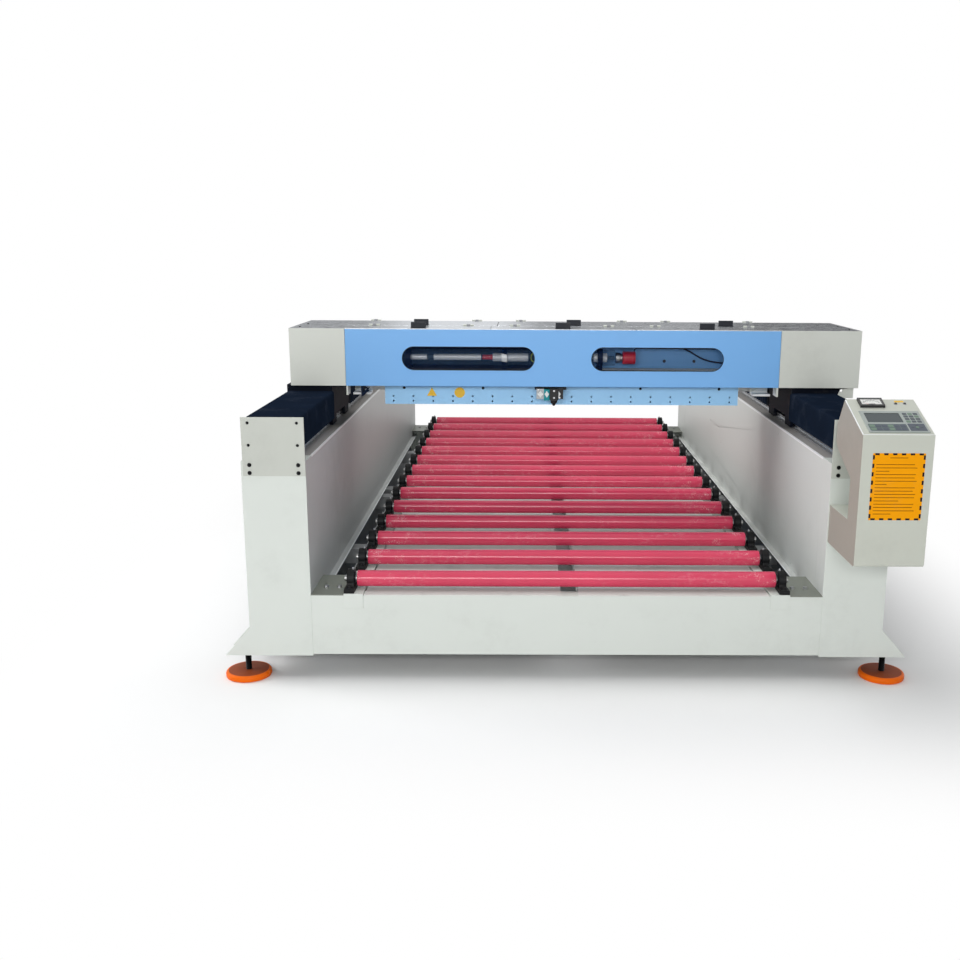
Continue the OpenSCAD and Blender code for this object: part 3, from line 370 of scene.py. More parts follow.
def tube_along(path: Array, radius: float | Array, sides: int = 10, finish: int = 0,
               start: Sequence[float] = (0.0, 0.0, 1.0)) -> Patch:
    """A round tube: at each path point, a circle across the path's direction.

    Args:
        path: points of the centre line.
        radius: tube radius, one number or one for each point.
        sides: points in a circle.
        finish: material number.
        start: a direction that isn't along the path, which sets where each circle starts.

    Returns:
        The tube, closed by a point at both ends.
    """
    path = np.asarray(path, float)
    way = np.gradient(path, axis=0)
    way /= np.linalg.norm(way, axis=1)[:, None]
    across = np.cross(way, np.asarray(start, float))
    weak = np.linalg.norm(across, axis=1) < 0.2
    across[weak] = np.cross(way[weak], np.array([0.0, 1.0, 0.0]))
    across /= np.linalg.norm(across, axis=1)[:, None]
    up = np.cross(across, way)
    angle = np.linspace(0.0, 2.0 * math.pi, sides, endpoint=False)
    r = np.broadcast_to(np.asarray(radius, float), (len(path),))[:, None, None]
    cosine, sine = (f(angle)[None, :, None] for f in (np.cos, np.sin))
    ring = path[:, None] + r * (across[:, None] * cosine + up[:, None] * sine)
    n = len(path)
    points = np.vstack([ring.reshape(-1, 3), path[[0, -1]]])
    j = np.arange(sides)
    after, last = (j + 1) % sides, (n - 1) * sides
    caps = np.vstack([np.stack([j, after, np.full(sides, n * sides)], 1),
                      np.stack([last + after, last + j, np.full(sides, n * sides + 1)], 1)])
    return Patch(points, grid_faces(n, sides, wrap_columns=True)[:, ::-1], caps[:, ::-1], finish)


def screw(centre: Sequence[float], axis: Axis, out: float, size: float, head: Head = Head.SOCKET,
          finish: int = 0) -> list[Patch]:
    """A screw head with its washer, standing on a face.

    Args:
        centre: middle of the head on the face.
        axis: direction of the screw.
        out: +1 or -1, the way that the head stands out along the axis.
        size: thread diameter.
        head: hexagon head or round head with a hexagon socket.
        finish: material number.

    Returns:
        Washer and head.
    """
    washer = [(0.3 * size, 0.0), (1.05 * size, 0.0), (1.05 * size, 0.16 * size), (0.3 * size, 0.18 * size)]
    if head is Head.HEX:
        outline = circle_outline(0.92 * size, head.value)
        top = prism(outline, axis, 0.14 * size, 0.78 * size, 0.06 * size, finish)
        parts = [revolved(washer, axis, ORIGIN, 20, finish), top]
    else:
        cup = [(1e-6, 0.14 * size), (0.8 * size, 0.14 * size), (0.82 * size, 0.5 * size), (0.72 * size, 0.66 * size),
               (0.44 * size, 0.7 * size), (0.42 * size, 0.34 * size), (1e-6, 0.3 * size)]
        parts = [revolved(washer, axis, ORIGIN, 20, finish), revolved(cup, axis, ORIGIN, head.value, finish)]
    if out < 0:
        back = -np.ones(3)
        back[axis.value[1]] = 1.0
        parts = [p.turned(np.diag(back)) for p in parts]
    return [p.moved(centre) for p in parts]


def placed(name: str, data: ID) -> Object:
    """Puts a new object with that mesh, light or camera into the scene."""
    thing = bpy.data.objects.new(name, data)
    bpy.context.scene.collection.objects.link(thing)
    return thing


def sheet_mesh(name: str, points: Array, faces: Array, finish: Material) -> Object:
    """Places a plain surface of the studio that wears one material."""
    mesh = bpy.data.meshes.new(name)
    mesh.from_pydata(points.tolist(), [], faces.tolist())
    mesh.materials.append(finish)
    return placed(name, mesh)


def make_piece(name: str, patches: Iterable[Patch], finishes: Sequence[Material], body: str,
               sharp: float = 35.0) -> Object:
    """Joins patches into one mesh object that rides on a body.

    Args:
        name: name of the piece.
        patches: its surfaces.
        finishes: materials, in the order of the patches' material numbers.
        body: the body that it moves with, or "" for a piece that is attached to no body.
        sharp: edges that bend by more than this many degrees stay sharp.

    Returns:
        The new object.
    """
    points, loops, starts, wears = [], [], [], []
    base, at_loop = 0, 0
    for patch in patches:
        points.append(patch.points)
        for faces in (patch.faces, patch.more):
            if len(faces):
                loops.append((faces + base).ravel())
                starts.append(at_loop + np.arange(len(faces)) * faces.shape[1])
                wears.append(np.full(len(faces), patch.finish))
                at_loop += faces.size
        base += len(patch.points)
    mesh = bpy.data.meshes.new(name)
    mesh.vertices.add(base)
    mesh.vertices.foreach_set("co", np.vstack(points).astype(np.float32).ravel())
    mesh.loops.add(at_loop)
    mesh.loops.foreach_set("vertex_index", np.concatenate(loops).astype(np.int32))
    starts = np.concatenate(starts).astype(np.int32)
    mesh.polygons.add(len(starts))
    mesh.polygons.foreach_set("loop_start", starts)
    mesh.polygons.foreach_set("material_index", np.concatenate(wears).astype(np.int32))
    mesh.polygons.foreach_set("use_smooth", np.ones(len(starts), bool))
    mesh.update(calc_edges=True)
    mesh.set_sharp_from_angle(angle=math.radians(sharp))
    for finish in finishes:
        mesh.materials.append(finish)
    piece = placed(name, mesh)
    if body:
        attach(piece, body)
    log.info("piece %s: %d faces on %s", name, len(starts), body or "two bodies")
    return piece


def dress(node: str, finish: Material, edge: float = 0.0, sharp: float = 32.0) -> Object:
    """Gives a carried-over part its finish, smooth shading and softened edges.

    Args:
        node: name of the part.
        finish: its material.
        edge: width of the rounding on its sharp edges, or 0 for none.
        sharp: edges that bend by more than this many degrees are sharp.

    Returns:
        The part's object.
    """
    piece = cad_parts[node]
    mesh = piece.data
    mesh.materials.clear()
    mesh.materials.append(finish)
    mesh.polygons.foreach_set("material_index", np.zeros(len(mesh.polygons), np.int32))
    mesh.polygons.foreach_set("use_smooth", np.ones(len(mesh.polygons), bool))
    weld = piece.modifiers.new("weld", "WELD")
    weld.merge_threshold = 0.00002
    if edge > 0.0:
        bevel = piece.modifiers.new("edge", "BEVEL")
        bevel.width = edge
        bevel.segments = 2
        bevel.limit_method = "ANGLE"
        bevel.angle_limit = math.radians(sharp)
        bevel.use_clamp_overlap = True
    split = piece.modifiers.new("sharp", "EDGE_SPLIT")
    split.split_angle = math.radians(sharp)
    if edge > 0.0:
        flat = piece.modifiers.new("flat", "WEIGHTED_NORMAL")
        flat.mode = "FACE_AREA"
    return piece


def wear_where(piece: Object, finish: Material, test: Callable[[Array], Array]) -> None:
    """Gives a further finish to the faces of a carried-over part whose centres pass a test.

    Args:
        piece: the part's object.
        finish: the further material.
        test: takes the centres as rows of X, Y and Z and returns True or False for each.
    """
    mesh = piece.data
    mesh.materials.append(finish)
    count = len(mesh.polygons)
    centres, numbers = np.zeros(count * 3, np.float32), np.zeros(count, np.int32)
    mesh.polygons.foreach_get("center", centres)
    mesh.polygons.foreach_get("material_index", numbers)
    chosen = test(centres.reshape(-1, 3))
    mesh.polygons.foreach_set("material_index", np.where(chosen, len(mesh.materials) - 1, numbers).astype(np.int32))


# ----------------------------------------------------------------- finishes


def paint_value(red: int, green: int, blue: int) -> tuple[float, float, float, float]:
    """Turns a paint chart's 0 to 255 values into the linear colour that shaders use."""
    share = np.array([red, green, blue], float) / 255.0
    linear = np.where(share <= 0.04045, share / 12.92, ((share + 0.055) / 1.055) ** 2.4)
    return (*linear.tolist(), 1.0)


class Graph:
    """Adds nodes to a shader tree and joins them."""

    def __init__(self, tree: NodeTree) -> None:
        """Starts on an empty tree."""
        self.tree = tree
        tree.nodes.clear()

    def add(self, kind: str, settings: dict | None = None, **inputs: object) -> Node:
        """Adds a node, sets its properties, and joins or fills its inputs.

        Args:
            kind: the node's type name without the ShaderNode prefix.
            settings: properties of the node.
            inputs: what close takes.

        Returns:
            The new node.
        """
        prefix = "" if kind.startswith("Node") else "ShaderNode"
        node = self.tree.nodes.new(prefix + kind)
        for key, value in (settings or {}).items():
            setattr(node, key, value)
        self.close(node, **inputs)
        return node

    def close(self, node: Node, **inputs: object) -> None:
        """Joins inputs of a node to other nodes' outputs, or gives them values.

        Args:
            node: the node.
            inputs: socket name, with _ for a space, or i and the socket's number, to an output or a value.
        """
        for key, value in inputs.items():
            numbered = key[0] == "i" and key[1:].isdigit()
            socket = node.inputs[int(key[1:]) if numbered else key.replace("_", " ")]
            if isinstance(value, NodeSocket):
                self.tree.links.new(value, socket)
            else:
                socket.default_value = value

    def mix(self, factor: object, first: object, second: object) -> NodeSocket:
        """Mixes two colours by a factor and returns the colour."""
        return self.add("Mix", {"data_type": "RGBA"}, i0=factor, i6=first, i7=second).outputs[2]

    def use(self, group: NodeTree, vector: object, **inputs: object) -> Node:
        """Places a shared effect with its own values."""
        return self.add("Group", {"node_tree": group}, Vector=vector, **inputs)

    def math(self, operation: str, *values: object) -> NodeSocket:
        """Works out a number from others and returns it."""
        node = self.add("Math", {"operation": operation}, **{f"i{k}": v for k, v in enumerate(values)})
        return node.outputs[0]

    def noise(self, vector: object, scale: object, detail: float, roughness: float = 0.5) -> NodeSocket:
        """Adds a cloud of noise and returns its value."""
        return self.add("TexNoise", Vector=vector, Scale=scale, Detail=detail, Roughness=roughness).outputs["Fac"]

    def drift(self, noise: object, amount: object) -> NodeSocket:
        """Returns 1 + amount (noise - 1/2)."""
        return self.math("MULTIPLY_ADD", self.math("SUBTRACT", noise, 0.5), amount, 1.0)

    def scaled(self, colour: object, factor: object) -> NodeSocket:
        """Multiplies a colour by a number and returns the colour."""
        return self.add("VectorMath", {"operation": "SCALE"}, i0=colour, Scale=factor).outputs[0]

    def seen(self) -> NodeSocket:
        """Returns 1 for the rays of the camera, of reflections and through glass, and 0 for others."""
        path = self.add("LightPath").outputs
        return self.math("MAXIMUM", path["Is Camera Ray"],
                         self.math("MAXIMUM", path["Is Glossy Ray"], path["Is Transmission Ray"]))

    def spread(self, value: object, low: object, high: object, to_low: object = 0.0,
               to_high: object = 1.0) -> NodeSocket:
        """Carries a range of numbers onto another, smoothly, and returns the result."""
        node = self.add("MapRange", {"interpolation_type": "SMOOTHSTEP"}, Value=value, From_Min=low, From_Max=high,
                        To_Min=to_low, To_Max=to_high)
        return node.outputs[0]


def new_group(name: str, gives: str, **takes: object
              ) -> tuple[NodeTree, Graph, bpy.types.bpy_prop_collection, Node]:
    """Makes an empty shader group that takes a vector and other named inputs.

    Args:
        name: name of the group.
        gives: names of the outputs, out of Color, Mask and Normal.
        takes: name and default value of each further input, four numbers for a colour.

    Returns:
        The group, a graph on it, the sockets that bring its inputs, and its output node.
    """
    tree = bpy.data.node_groups.new(name, "ShaderNodeTree")
    tree.interface.new_socket("Vector", in_out="INPUT", socket_type="NodeSocketVector")
    for label, value in takes.items():
        kind = "NodeSocketColor" if isinstance(value, tuple) else "NodeSocketFloat"
        tree.interface.new_socket(label, in_out="INPUT", socket_type=kind).default_value = value
    kinds = {"Color": "NodeSocketColor", "Mask": "NodeSocketFloat", "Normal": "NodeSocketVector"}
    for label in gives.split():
        tree.interface.new_socket(label, in_out="OUTPUT", socket_type=kinds[label])
    graph = Graph(tree)
    return tree, graph, graph.add("NodeGroupInput").outputs, graph.add("NodeGroupOutput")


class Effects:
    """The effects that several finishes share, each a node group that is built once."""

    @cached_property
    def mottle(self) -> NodeTree:
        """Slow drift of a colour's lightness: colour times 1 + amount (noise - 1/2)."""
        tree, g, given, result = new_group("mottle", "Color", Color=(0.8, 0.8, 0.8, 1), Scale=3.0, Amount=0.06)
        noise = g.noise(given["Vector"], given["Scale"], 4.0, 0.6)
        g.close(result, Color=g.scaled(given["Color"], g.drift(noise, given["Amount"])))
        return tree

    @cached_property
    def peel(self) -> NodeTree:
        """Orange peel of sprayed paint or the skin of moulded plastic, as a normal."""
        tree, g, given, result = new_group("peel", "Normal", Scale=500.0, Strength=0.1)
        fine = g.noise(given["Vector"], given["Scale"], 2.0)
        slow = g.noise(given["Vector"], 6.0, 2.0)
        height = g.math("MULTIPLY_ADD", slow, 2.2, fine)
        bump = g.add("Bump", Height=height, Strength=given["Strength"], Distance=0.0008)
        g.close(result, Normal=bump.outputs[0])
        return tree

    @cached_property
    def grain(self) -> NodeTree:
        """Straight grain of rolled, brushed or ground metal, from noise on a stretched vector."""
        tree, g, given, result = new_group("grain", "Color Mask Normal", Color=(0.6, 0.6, 0.6, 1), Scale=60.0,
                                           Contrast=0.15, Strength=0.1)
        noise = g.noise(given["Vector"], given["Scale"], 5.0, 0.65)
        colour = g.scaled(given["Color"], g.drift(noise, given["Contrast"]))
        bump = g.add("Bump", Height=noise, Strength=given["Strength"], Distance=0.0004)
        g.close(result, Color=colour, Mask=noise, Normal=bump.outputs[0])
        return tree

    @cached_property
    def scuffs(self) -> NodeTree:
        """Rubbed patches with ragged edges: fine noise kept only where slow noise is high."""
        tree, g, given, result = new_group("scuffs", "Color Mask", Color=(0.5, 0.1, 0.1, 1),
                                           Scuff=(0.8, 0.8, 0.8, 1), Scale=8.0, Amount=0.5, Reach=0.56)
        slow = g.noise(given["Vector"], given["Scale"], 3.0, 0.6)
        fine = g.noise(given["Vector"], g.math("MULTIPLY", given["Scale"], 9.0), 6.0, 0.75)
        patch = g.spread(slow, given["Reach"], g.math("ADD", given["Reach"], 0.12))
        streak = g.spread(fine, 0.48, 0.66)
        mask = g.math("MULTIPLY", g.math("MULTIPLY", patch, streak), given["Amount"])
        g.close(result, Color=g.mix(mask, given["Color"], given["Scuff"]), Mask=mask)
        return tree

    @cached_property
    def soil(self) -> NodeTree:
        """Dust on what faces up and grime in slow patches, mixed over a colour."""
        tree, g, given, result = new_group("soil", "Color Mask", Color=(0.8, 0.8, 0.8, 1),
                                           Dirt=(0.25, 0.23, 0.2, 1), Scale=5.0, Amount=0.3, Dust=0.1)
        slow = g.noise(given["Vector"], given["Scale"], 6.0, 0.7)
        grime = g.math("MULTIPLY", g.spread(slow, 0.5, 0.75), given["Amount"])
        up = g.add("SeparateXYZ", Vector=g.add("NewGeometry").outputs["Normal"]).outputs["Z"]
        dust = g.math("MULTIPLY", g.spread(up, 0.6, 1.0), given["Dust"])
        mask = g.math("MINIMUM", g.math("ADD", grime, dust), 1.0)
        g.close(result, Color=g.mix(mask, given["Color"], given["Dirt"]), Mask=mask)
        return tree

    @cached_property
    def weave(self) -> NodeTree:
        """Plain weave of coated cloth: the product of two crossed waves, as a colour and a normal."""
        tree, g, given, result = new_group("weave", "Color Normal", Color=(0.02, 0.03, 0.06, 1), Threads=700.0,
                                           Strength=0.2)
        warp = g.add("TexWave", {"bands_direction": "Y"}, Vector=given["Vector"], Scale=given["Threads"])
        weft = g.add("TexWave", {"bands_direction": "DIAGONAL"}, Vector=given["Vector"], Scale=given["Threads"])
        cloth = g.math("MULTIPLY", warp.outputs["Fac"], weft.outputs["Fac"])
        noise = g.noise(given["Vector"], 9.0, 5.0)
        light = g.math("MULTIPLY_ADD", cloth, 0.35, g.math("MULTIPLY_ADD", noise, 0.6, 0.55))
        bump = g.add("Bump", Height=cloth, Strength=given["Strength"], Distance=0.0002)
        g.close(result, Color=g.scaled(given["Color"], light), Normal=bump.outputs[0])
        return tree


@dataclass(frozen=True)
class Finish:
    """What every finish has: a name, a colour and the plain numbers of its shader.

    Attributes:
        name: name of the material.
        colour: linear colour.
        roughness: shader roughness.
        metallic: 1 for bare metal.
        coat: weight of a clear coat.
        gloss: strength of the reflection of whatever is not metal.
    """

    name: str
    colour: tuple[float, float, float, float]
    roughness: float = 0.4
    metallic: float = 0.0
    coat: float = 0.0
    gloss: float = 0.5

    def start(self) -> tuple[Material, Graph, Node, NodeSocket]:
        """Makes the material with its shader and returns it, its graph, the shader and the object coordinates."""
        material = bpy.data.materials.new(self.name)
        material.use_nodes = True
        g = Graph(material.node_tree)
        shader = g.add("BsdfPrincipled", Base_Color=self.colour, Roughness=self.roughness, Metallic=self.metallic,
                       Coat_Weight=self.coat, Specular_IOR_Level=self.gloss)
        g.add("OutputMaterial", Surface=shader.outputs[0])
        place = g.add("TexCoord").outputs["Object"]
        return material, g, shader, place

    def build(self, effects: Effects) -> Material:
        """Builds the finish; each kind of finish has its own."""
        raise NotImplementedError


@dataclass(frozen=True)
class Paint(Finish):
    """Sprayed paint or powder coat on sheet metal, with orange peel, drift and light soil."""

    drift: float = 0.05
    peel: float = 0.08
    dirt: float = 0.1
    dust: float = 0.06
    soil_scale: float = 4.0

    def build(self, effects: Effects) -> Material:
        """Mottles the colour, soils it, and bends the light with orange peel."""
        material, g, shader, place = self.start()
        base = g.use(effects.mottle, place, Color=self.colour, Scale=2.2, Amount=self.drift)
        soil = g.use(effects.soil, place, Color=base.outputs[0], Scale=self.soil_scale, Amount=self.dirt,
                         Dust=self.dust, Dirt=paint_value(120, 116, 108))
        peel = g.use(effects.peel, place, Scale=420.0, Strength=self.peel)
        rough = g.math("MULTIPLY_ADD", soil.outputs["Mask"], 0.35, self.roughness)
        g.close(shader, Base_Color=soil.outputs["Color"], Roughness=rough, Normal=peel.outputs[0])
        return material


@dataclass(frozen=True)
class BareMetal(Finish):
    """Rolled, ground, milled or anodised metal with a straight grain along one axis."""

    metallic: float = 1.0
    stretch: tuple[float, float, float] = (1.0, 40.0, 40.0)
    grain: float = 0.25
    relief: float = 0.08
    dirt: float = 0.15

    def build(self, effects: Effects) -> Material:
        """Draws the grain with stretched noise that also varies the roughness."""
        material, g, shader, place = self.start()
        along = g.add("Mapping", Vector=place, Scale=self.stretch).outputs[0]
        grain = g.use(effects.grain, along, Color=self.colour, Scale=22.0, Contrast=self.grain,
                          Strength=self.relief)
        soil = g.use(effects.soil, place, Color=grain.outputs["Color"], Scale=7.0, Amount=self.dirt,
                         Dust=0.05, Dirt=paint_value(88, 84, 78))
        rough = g.math("MULTIPLY_ADD", grain.outputs["Mask"], 0.3, self.roughness - 0.12)
        g.close(shader, Base_Color=soil.outputs["Color"], Roughness=rough, Normal=grain.outputs["Normal"])
        return material


@dataclass(frozen=True)
class Galvanised(Finish):
    """Zinc-dipped steel: angular spangles of slightly different greys."""

    metallic: float = 1.0

    def build(self, effects: Effects) -> Material:
        """Gives each cell of a crystal pattern its own lightness and gloss."""
        material, g, shader, place = self.start()
        cells = g.add("TexVoronoi", Vector=place, Scale=70.0)
        cell = g.add("SeparateColor", Color=cells.outputs["Color"]).outputs[0]
        lighter = tuple(min(1.0, 1.35 * c) for c in self.colour[:3]) + (1.0,)
        spangle = g.mix(g.math("MULTIPLY", cell, 0.5), self.colour, lighter)
        soil = g.use(effects.soil, place, Color=spangle, Scale=6.0, Amount=0.35, Dust=0.1,
                         Dirt=paint_value(96, 92, 86))
        g.close(shader, Base_Color=soil.outputs["Color"],
                Roughness=g.math("MULTIPLY_ADD", cell, 0.2, self.roughness))
        return material


@dataclass(frozen=True)
class RollerSleeve(Finish):
    """Coloured sleeve of a roller, rubbed pale in patches that are thicker near its ends."""

    half_length: float = 0.697

    def build(self, effects: Effects) -> Material:
        """Lays scuffs stretched along the roller, with more of them where |x| is large.

        The light it passes on to the walls and the deck is greyer than the sleeve itself.
        """
        material, g, shader, place = self.start()
        base = g.use(effects.mottle, place, Color=self.colour, Scale=3.0, Amount=0.35)
        along = g.add("Mapping", Vector=place, Scale=(1.0, 1.6, 1.6)).outputs[0]
        scuff = g.use(effects.scuffs, along, Color=base.outputs[0], Scale=5.0, Amount=0.4, Reach=0.5,
                          Scuff=paint_value(226, 130, 150))
        x = g.math("ABSOLUTE", g.add("SeparateXYZ", Vector=place).outputs["X"])
        ends = g.spread(x, 0.45, self.half_length)
        rub = g.use(effects.scuffs, along, Color=scuff.outputs["Color"], Scale=22.0, Reach=0.52,
                        Amount=ends, Scuff=paint_value(238, 196, 202))
        peel = g.use(effects.peel, place, Scale=260.0, Strength=0.12)
        path = g.add("LightPath")
        passed_on = g.math("MULTIPLY_ADD", path.outputs["Is Diffuse Ray"], 0.8,
                           g.math("MULTIPLY", path.outputs["Is Glossy Ray"], 0.5))
        colour = g.mix(passed_on, rub.outputs["Color"], paint_value(176, 158, 158))
        g.close(shader, Base_Color=colour,
                Roughness=g.math("MULTIPLY_ADD", rub.outputs["Mask"], 0.3, self.roughness),
                Normal=peel.outputs[0])
        return material


@dataclass(frozen=True)
class CoatedCloth(Finish):
    """Coated cloth of the bellows, with its weave and a dusting on the ridges."""

    def build(self, effects: Effects) -> Material:
        """Weaves the colour and roughens it in slow patches."""
        material, g, shader, place = self.start()
        weave = g.use(effects.weave, place, Color=self.colour, Threads=420.0, Strength=0.25)
        soil = g.use(effects.soil, place, Color=weave.outputs["Color"], Scale=7.0, Amount=0.12,
                         Dust=0.03, Dirt=paint_value(110, 118, 132))
        g.close(shader, Base_Color=soil.outputs["Color"], Normal=weave.outputs["Normal"])
        return material


@dataclass(frozen=True)
class Moulded(Finish):
    """Moulded plastic or rubber with a fine skin and slow drift."""

    skin: float = 0.15
    skin_scale: float = 900.0
    drift: float = 0.12
    dust: float = 0.05

    def build(self, effects: Effects) -> Material:
        """Mottles and dusts the colour and gives it a pimpled skin."""
        material, g, shader, place = self.start()
        base = g.use(effects.mottle, place, Color=self.colour, Scale=14.0, Amount=self.drift)
        soil = g.use(effects.soil, place, Color=base.outputs[0], Scale=10.0, Amount=0.12, Dust=self.dust,
                         Dirt=paint_value(128, 122, 112))
        peel = g.use(effects.peel, place, Scale=self.skin_scale, Strength=self.skin)
        g.close(shader, Base_Color=soil.outputs["Color"],
                Roughness=g.math("MULTIPLY_ADD", soil.outputs["Mask"], 0.3, self.roughness),
                Normal=peel.outputs[0])
        return material


@dataclass(frozen=True)
class Clear(Finish):
    """Glass or clear sheet that light passes through with little bending."""

    see_through: float = 0.8

    def build(self, effects: Effects) -> Material:
        """Lets part of the light straight through and keeps faint smears on the gloss."""
        material, g, shader, place = self.start()
        smear = g.noise(place, 12.0, 5.0)
        g.close(shader, Roughness=g.spread(smear, 0.45, 0.8, self.roughness, self.roughness + 0.12), IOR=1.45,
                Alpha=1.0 - self.see_through)
        return material


@dataclass(frozen=True)
class StudioFloor(Finish):
    """Pale floor that keeps the machine's shadow near it and turns plain white further away.

    Attributes:
        half: half the width and half the length of the machine's footprint.
        near: distance from the footprint where the white starts.
        far: distance where it is all white.
    """

    half: tuple[float, float] = (1.1, 1.7)
    near: float = 0.02
    far: float = 0.85

    def build(self, effects: Effects) -> Material:
        """Mixes in a white glow by distance, only for rays that see the floor."""
        material, g, shader, place = self.start()
        base = g.use(effects.mottle, place, Color=self.colour, Scale=0.8, Amount=0.02)
        g.close(shader, Base_Color=base.outputs[0])
        seen = g.seen()
        apart = g.add("SeparateXYZ", Vector=place)
        beyond = [g.math("MAXIMUM", g.math("SUBTRACT", g.math("ABSOLUTE", apart.outputs[k]), self.half[k]), 0.0)
                  for k in range(2)]
        distance = g.math("SQRT", g.math("ADD", g.math("POWER", beyond[0], 2.0), g.math("POWER", beyond[1], 2.0)))
        share = g.math("MULTIPLY", g.spread(distance, self.near, self.far), seen)
        white = g.add("Emission", Color=(1.0, 1.0, 1.0, 1.0), Strength=1.0)
        mixed = g.add("MixShader", i0=share, i1=shader.outputs[0], i2=white.outputs[0])
        g.close(material.node_tree.get_output_node("ALL"), Surface=mixed.outputs[0])
        return material


